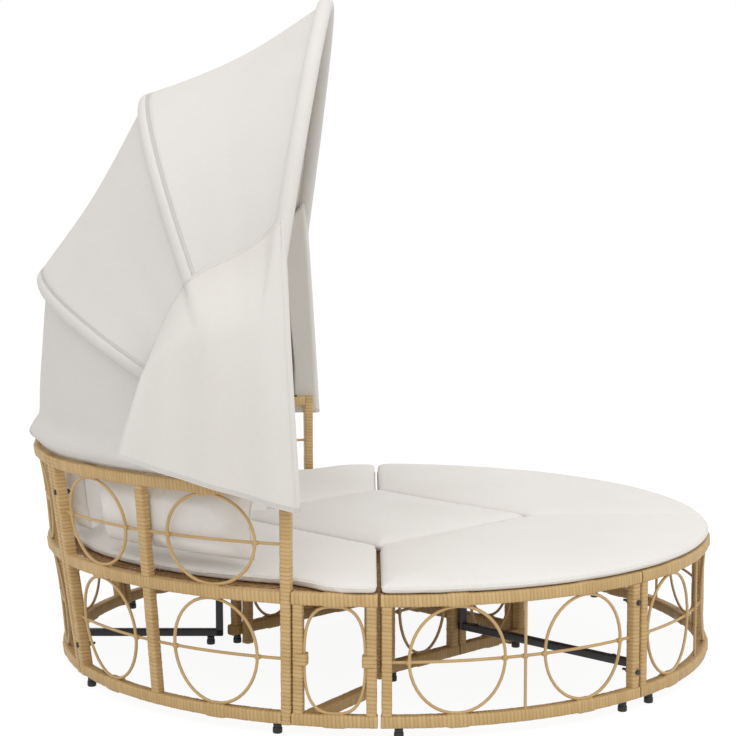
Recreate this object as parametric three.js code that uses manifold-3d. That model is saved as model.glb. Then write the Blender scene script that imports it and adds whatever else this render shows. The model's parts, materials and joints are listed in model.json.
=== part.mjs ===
// An outdoor daybed with a folding canopy, in millimetres. +X points to the foot end, the near side
// is -Y and +Z is up. A sofa with a leaning backrest fills the rear half of a round plan, two
// quarter seats close the front half, and a square centre frame, turned by 45 degrees, fills the
// middle. The frames are wrapped steel tube with bent cane rings. Three hoops carry the canopy
// cloth and swing about one pivot line above the backrest. The floor is at z = 0.

import * as THREE from "three";
import { mergeVertices } from "three/addons/utils/BufferGeometryUtils.js";
import Module from "manifold-3d";

const wasm = await Module();
wasm.setup();

// Overall sizes of the frames
const rimRadius = 900;
const railSize = 30;
const postSize = 25;
const caneDiameter = 8;
const footHeight = 25;
const footDiameter = 24;
const baseHeight = 324;
const backHeight = 579;
const lowerCaneHeight = 158;
const upperCaneHeight = 436;
const ringBite = 2;
const fitGap = 0.3;

// Seams between the pieces
const seamOffset = 22;
const seamGap = 7;
const centreSeamGap = 8;
const jointGap = 4;

// Directions round the rim, in degrees from the foot end
const jointAngle = 45;
const seamAngle = 90;
const armAngle = 105;
const armMidAngle = 130;
const cornerAngle = 153.5;
const fullLeanAngle = 150;
const rearAngle = 180;
const fullTurn = 360;
const degree = Math.PI / rearAngle;

// The backrest leans outward by this share of its height, growing from the arm to near the corner
const leanShare = 0.127;

// Cane rings: width of a ring as a share of its bay, and its place in the bay
const rimRingShare = 0.342;
const sideRingPlaceShares = [0.26, 0.74];
const footRingPlaceShares = [0.22, 0.78];
const bayRingWidth = 236;
const innerRingShare = 0.66;
const ovalPower = 2;
const stadiumPower = 2.8;
const half = 0.5;

// The square centre opening, turned by 45 degrees
const centreOffset = 18;
const centreHalfDiagonal = 420;
const centreClearance = 4;

// Decks of woven strap
const deckThickness = 12;

// Black steel braces
const braceSize = 20;
const braceHeight = 75;
const sofaBraceGap = 32;
const sofaBraceFootInset = 25;

// Brace of the corner frames
const cornerBraceAngle = 103;
const cornerBraceReach = 245;
const cornerBraceInset = 20;

// Feet along the rim, in degrees, and along the centre opening
const seamFootAngle = 88.4;
const jointFootSpread = 3.5;
const armFootAngle = 107.5;
const cornerFootAngle = 150.6;
const innerFootInset = 48;

// Seat cushions
const cushionThickness = 50;
const cushionCrown = 4;
const cushionEdge = 26;
const cushionSoftEdge = 10;
const cushionUnderEdge = 9;
const cushionSideGap = 3;
const cushionRimInset = 4;
const cushionDrawIn = 5;
const sofaCushionInset = 62;
const outlineStep = 95;

// Back pillows
const pillowHeight = 186;
const pillowDepth = 118;
const pillowClearance = 0.5;
const pillowFlat = 10;
const pillowWallGap = 0.5;
const pillowPower = 3.2;
const pillowDrawShare = 0.06;
const sidePillowFromAngle = 112;
const sidePillowToAngle = 145;
const rearPillowFromAngle = 153;
const rearPillowToAngle = 178.5;

// Canopy pivot and brackets
const bracketAngle = 110.8;
const pivotHeight = 105;
const bracketThickness = 4;
const bracketWidth = 34;
const bracketBaseLength = 90;
const bracketBaseWidth = 24;
const pivotBoltDiameter = 10;
const pivotHeadDiameter = 20;
const pivotHeadThickness = 6;
const pivotHoleGap = 0.3;
const spacerGap = 1;
const eyeDiameter = 26;
const eyeWidth = 16;

// Canopy hoops: reach from the pivot line, place outside the bracket, swing angle and squareness
const hoopTubeDiameter = 16;
const sleeveDiameter = 32;
const sleeveGap = 0.3;
const sleeveStart = 60;
const frontHoopReach = 1090;
const middleHoopReach = 881;
const rearHoopReach = 696;
const frontHoopOffset = 58.7;
const middleHoopOffset = 22.7;
const rearHoopOffset = -27.3;
const frontHoopAngle = 81.5;
const middleHoopAngle = 111.6;
const rearHoopAngle = 149.7;
const squarePower = 2.3;

// Canopy cloth
const clothThickness = 6;
const clothGap = 0.6;
const frontSag = 38;
const middleSag = 14;
const rearBulge = 58;
const rearBulgeHeightShare = 0.25;
const hemSlopeShare = 0.43;
const rearHemFromAngle = 121;
const drapeThickness = 5;
const drapeClearance = 2;
const drapeFold = 9;
const drapeFoldCount = 3;
const drapeFrontTopForward = 72;
const drapeFrontBottomForward = 108;
const drapeFrontTop = 486;
const drapeFrontBottom = 171;
const drapeRearTopBack = 236;
const drapeRearTop = 225;
const drapeRearBottomBack = 304;
const drapeRearBottom = 27;

// Facets
const caneSides = 4;
const ringSteps = 10;
const railStepAngle = 9;
const tubeSides = 6;
const hoopSteps = 16;
const roundSides = 8;
const pillowSteps = 14;
const pillowRows = 8;
const goreRows = 4;
const goreFirstBend = 2;
const drapeColumns = 18;
const drapeRows = 5;

// Places worked out from the sizes above
const railMiddle = rimRadius - railSize * half;
const railInside = rimRadius - railSize;
const caneRadius = caneDiameter * half;
const seatTop = footHeight + baseHeight;
const seatLow = seatTop - railSize;
const backTop = footHeight + backHeight;
const backLow = backTop - railSize;
const lowTop = footHeight + railSize;
const frontSeamX = seamGap * half - seamOffset;
const sofaSeamX = -seamGap * half - seamOffset;
const centreSeamY = -centreSeamGap * half;
const cushionLow = seatTop + fitGap;
const cushionTop = seatTop + cushionThickness;
const centreSide = centreHalfDiagonal * Math.SQRT2;
const sleeveRadius = sleeveDiameter * half;
const sofaBraceReach = centreOffset + centreHalfDiagonal + sofaBraceGap;
const pivotHoleRadius = (pivotBoltDiameter * half + pivotHoleGap) / Math.cos(Math.PI / roundSides);

// Materials, one for each finish
const rattan = new THREE.MeshStandardMaterial({ color: 0xc08a4e, roughness: 0.62, metalness: 0 });
const deckWeave = new THREE.MeshStandardMaterial({ color: 0x8a6238, roughness: 0.7, metalness: 0 });
const cushionCloth = new THREE.MeshStandardMaterial({ color: 0xe6e1d9, roughness: 0.9, metalness: 0 });
const canopyCloth = new THREE.MeshStandardMaterial({ color: 0xdfd9ce, roughness: 0.88, metalness: 0 });
const blackSteel = new THREE.MeshStandardMaterial({ color: 0x26272a, roughness: 0.45, metalness: 0.6 });
const blackPlastic = new THREE.MeshStandardMaterial({ color: 0x1b1b1c, roughness: 0.7, metalness: 0 });

const daybed = new THREE.Group();

// Solids

function solidFrom(geometry) {
  const bare = geometry.clone();
  bare.deleteAttribute("normal");
  bare.deleteAttribute("uv");
  const merged = mergeVertices(bare);
  return new wasm.Manifold(
    new wasm.Mesh({
      numProp: 3,
      vertProperties: merged.attributes.position.array,
      triVerts: new Uint32Array(merged.index.array),
    }),
  );
}

function geometryFrom(solid) {
  const mesh = solid.getMesh();
  const geometry = new THREE.BufferGeometry();
  geometry.setAttribute("position", new THREE.BufferAttribute(mesh.vertProperties, mesh.numProp));
  geometry.setIndex(new THREE.BufferAttribute(mesh.triVerts, 1));
  geometry.computeVertexNormals();
  return geometry;
}

function joined(pieces) {
  return geometryFrom(pieces.map(solidFrom).reduce((sum, piece) => sum.add(piece)));
}

function cutFrom(geometry, tools) {
  const start = solidFrom(geometry);
  return geometryFrom(tools.map(solidFrom).reduce((rest, tool) => rest.subtract(tool), start));
}

// The same shape on the far side, its faces turned back outward
function mirrored(geometry) {
  const copy = mergeVertices(geometry.clone()).scale(1, -1, 1);
  const corners = copy.index.array;
  for (let i = 0; i < corners.length; i += 3) {
    const first = corners[i];
    corners[i] = corners[i + 1];
    corners[i + 1] = first;
  }
  copy.computeVertexNormals();
  return copy;
}

function place(name, geometry, material) {
  const mesh = new THREE.Mesh(geometry, material);
  mesh.name = name;
  daybed.add(mesh);
  return mesh;
}

function placePair(name, geometry, material) {
  place(name + "_near", geometry, material);
  place(name + "_far", mirrored(geometry), material);
}

// The rim wall: x runs along the rim, y is the height and z points inward

function arcLength(angle) {
  return angle * degree * railMiddle;
}

function leanAt(angle) {
  const fromFoot = angle > rearAngle ? fullTurn - angle : angle;
  const growth = (fromFoot - armAngle) / (fullLeanAngle - armAngle);
  return leanShare * THREE.MathUtils.clamp(growth, 0, 1);
}

function rimPoint(angle, radius, height) {
  const lean = leanAt(angle) * (height - footHeight);
  const turn = angle * degree;
  return new THREE.Vector3(radius * Math.cos(turn) - lean, -radius * Math.sin(turn), height);
}

function bent(geometry) {
  const places = geometry.attributes.position;
  for (let i = 0; i < places.count; i += 1) {
    const angle = places.getX(i) / (degree * railMiddle);
    const point = rimPoint(angle, railMiddle - places.getZ(i), places.getY(i));
    places.setXYZ(i, point.x, point.y, point.z);
  }
  return geometry;
}

// Pieces of a wrapped frame, lying flat along x

function rail(from, to, low) {
  const bar = new THREE.BoxGeometry(to - from, railSize, railSize, stepsOver(from, to));
  return bar.translate((from + to) * half, low + railSize * half, 0);
}

function post(at, low, high) {
  const bar = new THREE.BoxGeometry(postSize, high - low, postSize);
  return bar.translate(at, (low + high) * half, 0);
}

function cane(from, to, height) {
  const steps = stepsOver(from, to);
  const rod = new THREE.CylinderGeometry(caneRadius, caneRadius, to - from, caneSides, steps);
  return rod.rotateZ(Math.PI * half).translate((from + to) * half, height, 0);
}

function uprightCane(at, low, high) {
  const rod = new THREE.CylinderGeometry(caneRadius, caneRadius, high - low, caneSides);
  return rod.translate(at, (low + high) * half, 0);
}

// A closed ring of cane that bites a little into the rails above and below it
// A ring that fills the space between two rails; a higher power makes its sides straighter
function ring(at, width, low, high, power = ovalPower) {
  const halfWidth = width * half - caneRadius;
  const halfHeight = (high - low) * half - caneRadius + ringBite;
  const loop = new THREE.TorusGeometry(halfWidth, caneRadius, caneSides, ringSteps);
  const places = loop.attributes.position;
  for (let i = 0; i < places.count; i += 1) {
    const x = places.getX(i);
    const y = places.getY(i);
    const out = Math.hypot(x, y) - halfWidth;
    const cosine = x / (halfWidth + out);
    const sine = y / (halfWidth + out);
    const acrossShare = Math.sign(cosine) * Math.abs(cosine) ** (2 / power);
    const upShare = Math.sign(sine) * Math.abs(sine) ** (2 / power);
    places.setX(i, halfWidth * acrossShare + out * cosine);
    places.setY(i, halfHeight * upShare + out * sine);
  }
  return loop.translate(at, (low + high) * half, 0);
}

// Where each frame of the rim starts and ends along the rim
const halfJoint = jointGap * half;
const seamAt = arcLength(seamAngle) + seamOffset;
const footStart = arcLength(Math.asin((centreSeamGap * half) / railMiddle) / degree);
const spans = {
  foot: [footStart, arcLength(jointAngle) - halfJoint],
  side: [arcLength(jointAngle) + halfJoint, seamAt - seamGap * half],
  corner: [seamAt + seamGap * half, arcLength(armAngle) - fitGap],
  arm: [arcLength(armAngle), arcLength(cornerAngle) - halfJoint],
  rear: [arcLength(cornerAngle) + halfJoint, arcLength(fullTurn - cornerAngle) - halfJoint],
};

function stepsOver(from, to) {
  return Math.max(1, Math.round((to - from) / arcLength(railStepAngle)));
}

function spanAngles([from, to]) {
  const steps = stepsOver(from, to);
  const angles = [];
  for (let i = 0; i <= steps; i += 1) {
    angles.push(THREE.MathUtils.lerp(from, to, i / steps) / (degree * railMiddle));
  }
  return angles;
}

// Frames between a bottom rail and the seat rail

function baseRails(from, to) {
  return [rail(from, to, footHeight), rail(from, to, seatLow)];
}

function basePosts(places) {
  const low = footHeight + railSize * half;
  const high = seatTop - railSize * half;
  return places.map((at) => post(at, low, high));
}

function lowerCane(from, to) {
  return cane(from, to, footHeight + lowerCaneHeight);
}

function rimPanel([from, to], placeShares) {
  const span = to - from;
  const ends = [from + postSize * half + caneRadius * half, to - postSize * half - caneRadius * half];
  const rings = placeShares.map((share) =>
    ring(from + span * share, span * rimRingShare, lowTop, seatLow),
  );
  return [
    ...baseRails(from, to),
    ...basePosts(ends),
    ...rings,
    lowerCane(ends[0], ends[1]),
    uprightCane((from + to) * half, lowTop - ringBite, seatLow + ringBite),
  ];
}

function frontRimPanels() {
  placePair("front_rim_panel_foot", joined(rimPanel(spans.foot, footRingPlaceShares).map(bent)), rattan);
  placePair("front_rim_panel_side", joined(rimPanel(spans.side, sideRingPlaceShares).map(bent)), rattan);
}

// Half of one side of the centre opening, with one ring
function innerHalf(length) {
  const ends = [postSize * half + caneRadius * half, length - postSize * half - caneRadius * half];
  return [
    ...baseRails(0, length),
    ...basePosts(ends),
    ring(length * half, length * innerRingShare, lowTop, seatLow),
    lowerCane(ends[0], ends[1]),
  ];
}

// Distance along the side of the centre opening from its corner to the end of a rail
const innerStart = railSize * half + centreSeamGap * half * Math.SQRT2;
const innerHalfLength = centreSide * half - halfJoint - innerStart;
const quarterTurn = Math.PI * half;
const eighthTurn = quarterTurn * half;

// Turns a flat panel so that it runs from the side corner of the opening to the foot corner
function onFrontSide(geometry, start) {
  geometry.rotateX(quarterTurn).translate(start, 0, 0).rotateZ(eighthTurn);
  return geometry.translate(-centreOffset, -centreHalfDiagonal, 0);
}

function onRearSide(geometry, start) {
  geometry.rotateX(quarterTurn).translate(start, 0, 0).rotateZ(-eighthTurn);
  return geometry.translate(-centreOffset - centreHalfDiagonal, 0, 0);
}

function frontInnerPanels() {
  const side = onFrontSide(joined(innerHalf(innerHalfLength)), innerStart);
  const foot = onFrontSide(joined(innerHalf(innerHalfLength)), centreSide * half + halfJoint);
  placePair("front_inner_panel_side", side, rattan);
  placePair("front_inner_panel_foot", foot, rattan);
}

function sofaInnerPanel() {
  const to = centreSide - innerStart;
  const middle = centreSide * half;
  const low = footHeight + railSize * half;
  const high = seatLow - fitGap;
  const posts = [innerStart, middle, to - postSize * half].map((at) => post(at, low, high));
  const width = (to - innerStart) * half * innerRingShare;
  const shares = [half * half, 1 - half * half];
  const rings = shares.map((share) =>
    ring(innerStart + (to - innerStart) * share, width, lowTop, seatLow - ringBite - fitGap),
  );
  const pieces = [
    rail(0, to, footHeight),
    ...posts,
    ...rings,
    lowerCane(innerStart, to - postSize * half),
  ];
  place("sofa_inner_panel", mirrored(onRearSide(joined(pieces), 0)), rattan);
}

// Sofa frames

function backRails(from, to) {
  return [...baseRails(from, to), rail(from, to, backLow)];
}

function backPosts(places) {
  const low = footHeight + railSize * half;
  const high = backTop - railSize * half;
  return places.map((at) => post(at, low, high));
}

function bay(from, to) {
  const at = (from + to) * half;
  return [
    ring(at, bayRingWidth, lowTop, seatLow),
    ring(at, bayRingWidth, seatTop, backLow),
    lowerCane(from, to),
    cane(from, to, footHeight + upperCaneHeight),
  ];
}

function sidePanel() {
  const [from, to] = spans.arm;
  const inset = postSize * half + caneRadius * half;
  const places = [from + inset, arcLength(armMidAngle), to - inset];
  const pieces = [
    ...backRails(from, to),
    ...backPosts(places),
    ...bay(places[0], places[1]),
    ...bay(places[1], places[2]),
  ];
  placePair("sofa_side_panel", joined(pieces.map(bent)), rattan);
}

function rearPanel() {
  const [from, to] = spans.rear;
  const inset = postSize * half + caneRadius * half;
  const places = [from + inset, arcLength(rearAngle), to - inset];
  const pieces = [
    ...backRails(from, to),
    ...backPosts(places),
    ...bay(places[0], places[1]),
    ...bay(places[1], places[2]),
  ];
  place("sofa_rear_panel", joined(pieces.map(bent)), rattan);
}

// The short frame in front of the arm, with its low brace that runs in under the deck
function cornerPanel() {
  const [seam, to] = spans.corner;
  const inset = postSize * half + caneRadius * half;
  const places = [seam + inset, to - inset];
  const width = places[1] - places[0] - postSize + ringBite * 2;
  const pieces = [
    ...baseRails(seam, to),
    ...basePosts(places),
    ring((places[0] + places[1]) * half, width, lowTop, seatLow, stadiumPower),
  ].map(bent);
  placePair("sofa_corner_panel", joined([...pieces, ...cornerBrace()]), rattan);
}

function cornerBrace() {
  const start = rimPoint(cornerBraceAngle, railMiddle, footHeight);
  const end = new THREE.Vector2(sofaSeamX - cornerBraceInset, start.y + cornerBraceReach);
  const run = new THREE.Vector2(end.x - start.x, end.y - start.y);
  const bar = new THREE.BoxGeometry(run.length(), railSize, railSize);
  bar.translate(run.length() * half, 0, 0).rotateZ(run.angle());
  bar.translate(start.x, start.y, footHeight + railSize * half);
  const low = footHeight + railSize * half;
  const high = seatLow - fitGap;
  const upright = new THREE.BoxGeometry(postSize, postSize, high - low);
  upright.translate(end.x, end.y - postSize * half, (low + high) * half);
  return [bar, upright];
}

// Decks

function extruded(shape, low, height) {
  const slab = new THREE.ExtrudeGeometry(shape, { depth: height, bevelEnabled: false });
  return slab.translate(0, 0, low);
}

function outlineShape(points) {
  return new THREE.Shape(points.map((point) => new THREE.Vector2(point.x, point.y)));
}

function rimArc(angles, radius, height) {
  return angles.map((angle) => rimPoint(angle, radius, height));
}

// Outline of a front seat inside the given rim radius and outside the sides of the centre opening
function frontOutline(radius, seamX, centreY, sideInset, height) {
  const angles = [...spanAngles(spans.foot), ...spanAngles(spans.side)];
  const arc = rimArc(angles, radius, height);
  arc[0].y = centreY;
  arc[arc.length - 1].x = seamX;
  const slant = (railSize * half + sideInset) * Math.SQRT2;
  const atSeam = new THREE.Vector3(seamX, seamX + centreOffset - centreHalfDiagonal - slant, height);
  const atCentre = new THREE.Vector3(centreY + centreHalfDiagonal - centreOffset + slant, centreY, height);
  return [atCentre, ...arc, atSeam];
}

function frontDeck() {
  const radius = railInside - fitGap;
  const outline = frontOutline(radius, frontSeamX, centreSeamY, fitGap, seatTop);
  const slab = extruded(outlineShape(outline), seatTop - deckThickness, deckThickness);
  const last = outline.length - 1;
  const seamLength = outline[last].y - outline[last - 1].y;
  const centreLength = outline[1].x - outline[0].x;
  const seamBeam = new THREE.BoxGeometry(railSize, seamLength - railSize, railSize);
  seamBeam.translate(
    frontSeamX + railSize * half,
    outline[last - 1].y + seamLength * half,
    seatLow + railSize * half,
  );
  const centreBeam = new THREE.BoxGeometry(centreLength - railSize, railSize, railSize);
  centreBeam.translate(
    outline[0].x + centreLength * half,
    centreSeamY - railSize * half,
    seatLow + railSize * half,
  );
  placePair("front_deck", joined([slab, seamBeam, centreBeam]), deckWeave);
}

// Outline of the sofa seat, round the rim from the near seam to the far one and back by the notch
function sofaOutline(radius, seamX, notchInset, height) {
  const near = [...spanAngles(spans.corner), ...spanAngles(spans.arm)];
  const far = near.map((angle) => fullTurn - angle).reverse();
  const arc = rimArc([...near, ...spanAngles(spans.rear), ...far], radius, height);
  arc[0].x = seamX;
  arc[arc.length - 1].x = seamX;
  const slant = notchInset * Math.SQRT2;
  const seamY = seamX + centreOffset + centreHalfDiagonal + slant;
  return [
    ...arc,
    new THREE.Vector3(seamX, seamY, height),
    new THREE.Vector3(-centreOffset - centreHalfDiagonal - slant, 0, height),
    new THREE.Vector3(seamX, -seamY, height),
  ];
}

function sofaDeck() {
  const height = seatTop - deckThickness;
  const outline = sofaOutline(railInside - fitGap, sofaSeamX, -railSize * half, height);
  const slab = extruded(outlineShape(outline), height, deckThickness);
  const [notch, nearSeam] = outline.slice(-2);
  const seamLength = nearSeam.y - outline[0].y;
  const seamBeam = new THREE.BoxGeometry(railSize, seamLength - railSize * 2, railSize);
  seamBeam.translate(
    sofaSeamX - railSize * half,
    nearSeam.y - seamLength * half,
    seatLow + railSize * half,
  );
  const side = notch.distanceTo(nearSeam);
  const beam = new THREE.BoxGeometry(side - railSize, railSize, railSize);
  beam.translate(side * half, -railSize * half, seatLow + railSize * half).rotateZ(-eighthTurn);
  beam.translate(notch.x, 0, 0);
  const beams = [seamBeam, mirrored(seamBeam), beam, mirrored(beam)];
  place("sofa_deck", joined([slab, ...beams]), deckWeave);
}

// The square centre frame stands on four legs inside the opening
const centreFrameHalf = (centreSide - railSize) * half - centreClearance;

function centreFrame() {
  const side = centreFrameHalf * 2;
  const slab = new THREE.BoxGeometry(side, side, deckThickness);
  slab.translate(0, 0, seatTop - deckThickness * half);
  const beamAt = centreFrameHalf - railSize * half;
  const pieces = [slab];
  for (let turn = 0; turn < 4; turn += 1) {
    const beam = new THREE.BoxGeometry(side, railSize, railSize);
    beam.translate(0, beamAt, seatLow + railSize * half).rotateZ(turn * quarterTurn);
    const leg = new THREE.BoxGeometry(postSize, postSize, seatTop - railSize * half);
    leg.translate(beamAt, beamAt, (seatTop - railSize * half) * half).rotateZ(turn * quarterTurn);
    pieces.push(beam, leg);
  }
  const frame = joined(pieces).rotateZ(eighthTurn).translate(-centreOffset, 0, 0);
  place("centre_frame", frame, deckWeave);
}

// Black steel braces

function frontBrace() {
  const rimEnd = rimPoint(jointAngle, railInside - fitGap, 0);
  const toCentre = (centreHalfDiagonal + railSize * half * Math.SQRT2) * half;
  const gap = fitGap * Math.SQRT1_2;
  const innerEnd = new THREE.Vector3(toCentre - centreOffset + gap, -toCentre - gap, 0);
  const run = new THREE.Vector2(rimEnd.x - innerEnd.x, rimEnd.y - innerEnd.y);
  const slack = braceSize * half * Math.abs(Math.sin(run.angle() - (fullTurn - jointAngle) * degree));
  const length = run.length() - slack * 2;
  const bar = new THREE.BoxGeometry(length, braceSize, braceSize);
  bar.translate(slack + length * half, 0, footHeight + braceHeight + braceSize * half);
  const low = footHeight + braceHeight;
  const high = seatTop - deckThickness - fitGap;
  const upright = new THREE.BoxGeometry(braceSize, braceSize, high - low);
  upright.translate(slack + braceSize * half, 0, (low + high) * half);
  const brace = joined([bar, upright]).rotateZ(run.angle()).translate(innerEnd.x, innerEnd.y, 0);
  placePair("front_brace", brace, blackSteel);
}

function sofaBrace() {
  const rearEnd = rimPoint(rearAngle, railInside * Math.cos(railStepAngle * degree * half), footHeight);
  const length = -sofaBraceReach + braceSize * half - rearEnd.x;
  const bar = new THREE.BoxGeometry(length, braceSize, braceSize);
  bar.translate(rearEnd.x + length * half, 0, footHeight + braceSize * half);
  const high = seatTop - deckThickness - fitGap;
  const upright = new THREE.BoxGeometry(braceSize, braceSize, high - footHeight);
  upright.translate(-sofaBraceReach, 0, (high + footHeight) * half);
  place("sofa_brace", joined([bar, upright]), blackSteel);
}

// Feet

function foot(x, y) {
  const radius = footDiameter * half;
  const height = footHeight - fitGap;
  const plug = new THREE.CylinderGeometry(radius, radius, height, roundSides);
  return plug.rotateX(quarterTurn).translate(x, y, height * half);
}

function rimFoot(name, angle) {
  const point = rimPoint(angle, railMiddle, footHeight);
  placePair(name, foot(point.x, point.y), blackPlastic);
}

function feet() {
  rimFoot("front_foot_seam", seamFootAngle);
  rimFoot("front_foot_joint_side", jointAngle + jointFootSpread);
  rimFoot("front_foot_joint_foot", jointAngle - jointFootSpread);
  rimFoot("sofa_foot_arm", armFootAngle);
  rimFoot("sofa_foot_corner", cornerFootAngle);
  const inset = innerFootInset * Math.SQRT1_2;
  const side = foot(inset - centreOffset, inset - centreHalfDiagonal);
  placePair("front_foot_inner_side", side, blackPlastic);
  const tip = foot(centreHalfDiagonal - centreOffset - inset, -inset);
  placePair("front_foot_inner_tip", tip, blackPlastic);
  const notchX = innerFootInset * half * Math.SQRT1_2 - centreOffset - centreHalfDiagonal;
  place("sofa_foot_notch", foot(notchX, innerFootInset * half * Math.SQRT1_2), blackPlastic);
  place("sofa_foot_brace", foot(-sofaBraceReach - sofaBraceFootInset, 0), blackPlastic);
}

// Cushions

// Adds points along each long straight side, drawn in between its corners
function drawnOutline(points, drawIn) {
  const result = [];
  points.forEach((start, index) => {
    const end = points[(index + 1) % points.length];
    const run = new THREE.Vector2(end.x - start.x, end.y - start.y);
    const steps = Math.max(1, Math.round(run.length() / outlineStep));
    const inward = new THREE.Vector2(-run.y, run.x).normalize();
    for (let i = 0; i < steps; i += 1) {
      const along = i / steps;
      const depth = steps > 1 ? drawIn * Math.sin(Math.PI * along) : 0;
      const x = start.x + run.x * along + inward.x * depth;
      const y = start.y + run.y * along + inward.y * depth;
      result.push(new THREE.Vector2(x, y));
    }
  });
  return result;
}

// Moves each point of an anticlockwise outline inward by the same distance
function insetOutline(points, distance) {
  return points.map((point, index) => {
    const before = points[(index + points.length - 1) % points.length];
    const after = points[(index + 1) % points.length];
    const one = new THREE.Vector2(before.y - point.y, point.x - before.x).normalize();
    const two = new THREE.Vector2(point.y - after.y, after.x - point.x).normalize();
    const middle = one.add(two).normalize();
    return new THREE.Vector2(point.x + middle.x * distance, point.y + middle.y * distance);
  });
}

// A crowned cushion: rings of points from the flat underside up to the crown at its middle
function cushion(outline, middle, low) {
  const layers = [
    { inset: cushionUnderEdge, height: 0 },
    { inset: 0, height: cushionThickness * half * half },
    { inset: 0, height: cushionThickness * half },
    { inset: cushionSoftEdge, height: cushionThickness - cushionSoftEdge - fitGap },
    { inset: cushionEdge, height: cushionThickness - cushionCrown - fitGap },
  ];
  const count = outline.length;
  const points = [];
  layers.forEach((layer) => {
    insetOutline(outline, layer.inset).forEach((point) => {
      points.push(point.x, point.y, low + layer.height);
    });
  });
  points.push(middle.x, middle.y, low);
  points.push(middle.x, middle.y, low + cushionThickness - fitGap);
  const faces = [];
  for (let i = 0; i < count; i += 1) {
    const next = (i + 1) % count;
    for (let layer = 0; layer + 1 < layers.length; layer += 1) {
      const here = layer * count;
      const above = here + count;
      faces.push(here + i, here + next, above + next, here + i, above + next, above + i);
    }
    const top = (layers.length - 1) * count;
    faces.push(layers.length * count, next, i);
    faces.push(layers.length * count + 1, top + i, top + next);
  }
  const geometry = new THREE.BufferGeometry();
  geometry.setAttribute("position", new THREE.Float32BufferAttribute(points, 3));
  geometry.setIndex(faces);
  geometry.computeVertexNormals();
  return geometry;
}

function anticlockwise(points) {
  const flat = points.map((point) => new THREE.Vector2(point.x, point.y));
  return THREE.ShapeUtils.isClockWise(flat) ? flat.reverse() : flat;
}

function frontCushion() {
  const radius = rimRadius - cushionRimInset;
  const seamX = frontSeamX + cushionSideGap;
  const centreY = centreSeamY - cushionSideGap + seamGap * half;
  const inset = cushionSideGap - railSize * half;
  const corners = anticlockwise(frontOutline(radius, seamX, centreY, inset, seatTop));
  const middle = new THREE.Vector2(railMiddle, -railMiddle).multiplyScalar(half);
  const outline = drawnOutline(corners, cushionDrawIn);
  placePair("front_cushion", cushion(outline, middle, cushionLow), cushionCloth);
}

function sofaCushion() {
  const radius = rimRadius - sofaCushionInset;
  const outline = sofaOutline(radius, sofaSeamX - cushionSideGap, cushionSideGap, seatTop);
  const corners = anticlockwise(outline);
  const middle = new THREE.Vector2(-(centreOffset + centreHalfDiagonal + radius) * half, 0);
  place("sofa_cushion", cushion(drawnOutline(corners, cushionDrawIn), middle, cushionLow), cushionCloth);
}

function centreCushion() {
  const reach = centreHalfDiagonal - cushionSideGap;
  const corners = [
    new THREE.Vector2(reach - centreOffset, 0),
    new THREE.Vector2(-centreOffset, reach),
    new THREE.Vector2(-reach - centreOffset, 0),
    new THREE.Vector2(-centreOffset, -reach),
  ];
  const middle = new THREE.Vector2(-centreOffset, 0);
  place("centre_cushion", cushion(drawnOutline(corners, cushionDrawIn), middle, cushionLow), cushionCloth);
}

// A pillow that stands against the backrest: a soft block with drawn-in sides, bent to the rim
function pillow(fromAngle, toAngle) {
  const length = arcLength(toAngle) - arcLength(fromAngle);
  const ball = new THREE.SphereGeometry(1, pillowSteps, pillowRows);
  const places = ball.attributes.position;
  const low = cushionTop - cushionCrown + pillowClearance;
  for (let i = 0; i < places.count; i += 1) {
    const unit = new THREE.Vector3().fromBufferAttribute(places, i);
    const powers = [unit.x, unit.y, unit.z].map((value) => Math.abs(value) ** pillowPower);
    unit.divideScalar((powers[0] + powers[1] + powers[2]) ** (1 / pillowPower));
    const x = unit.x * (1 - pillowDrawShare * (1 - unit.y * unit.y));
    const y = unit.y * (1 - pillowDrawShare * (1 - unit.x * unit.x));
    const up = Math.max(pillowFlat, (y + 1) * half * (pillowHeight + pillowFlat));
    places.setXYZ(i, x * length * half, up - pillowFlat, unit.z * pillowDepth * half);
  }
  const away = railSize * half + pillowWallGap + pillowDepth * half;
  ball.translate(arcLength((fromAngle + toAngle) * half), low, away);
  return joined([bent(ball)]);
}

function pillows() {
  placePair("side_pillow", pillow(sidePillowFromAngle, sidePillowToAngle), cushionCloth);
  placePair("rear_pillow", pillow(rearPillowFromAngle, rearPillowToAngle), cushionCloth);
}

// Canopy

const pivot = rimPoint(bracketAngle, railMiddle, backTop - railSize * half);
const bracketY = pivot.y;
pivot.set(pivot.x, 0, backTop + pivotHeight);

function makeHoop(reach, offset, angle, power) {
  return { reach, halfWidth: offset - bracketY, angle, power };
}

const hoops = {
  front: makeHoop(frontHoopReach, frontHoopOffset, frontHoopAngle, ovalPower),
  middle: makeHoop(middleHoopReach, middleHoopOffset, middleHoopAngle, ovalPower),
  rear: makeHoop(rearHoopReach, rearHoopOffset, rearHoopAngle, squarePower),
};

// A point on a hoop: turn runs from 0 at the near pivot to pi at the far one
function hoopPoint(hoop, turn) {
  const cosine = Math.cos(turn);
  const across = -Math.sign(cosine) * hoop.halfWidth * Math.abs(cosine) ** (2 / hoop.power);
  const out = hoop.reach * Math.abs(Math.sin(turn)) ** (2 / hoop.power);
  const swing = hoop.angle * degree;
  return new THREE.Vector3(pivot.x + out * Math.cos(swing), across, pivot.z + out * Math.sin(swing));
}

// Turns at which a hoop has its bends; the first and last stretch are bare tube
function hoopTurns(hoop) {
  const inset = Math.asin((sleeveStart / hoop.reach) ** (hoop.power * half));
  const turns = [0];
  for (let i = 0; i <= hoopSteps; i += 1) {
    turns.push(THREE.MathUtils.lerp(inset, Math.PI - inset, i / hoopSteps));
  }
  turns.push(Math.PI);
  return turns;
}

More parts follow.
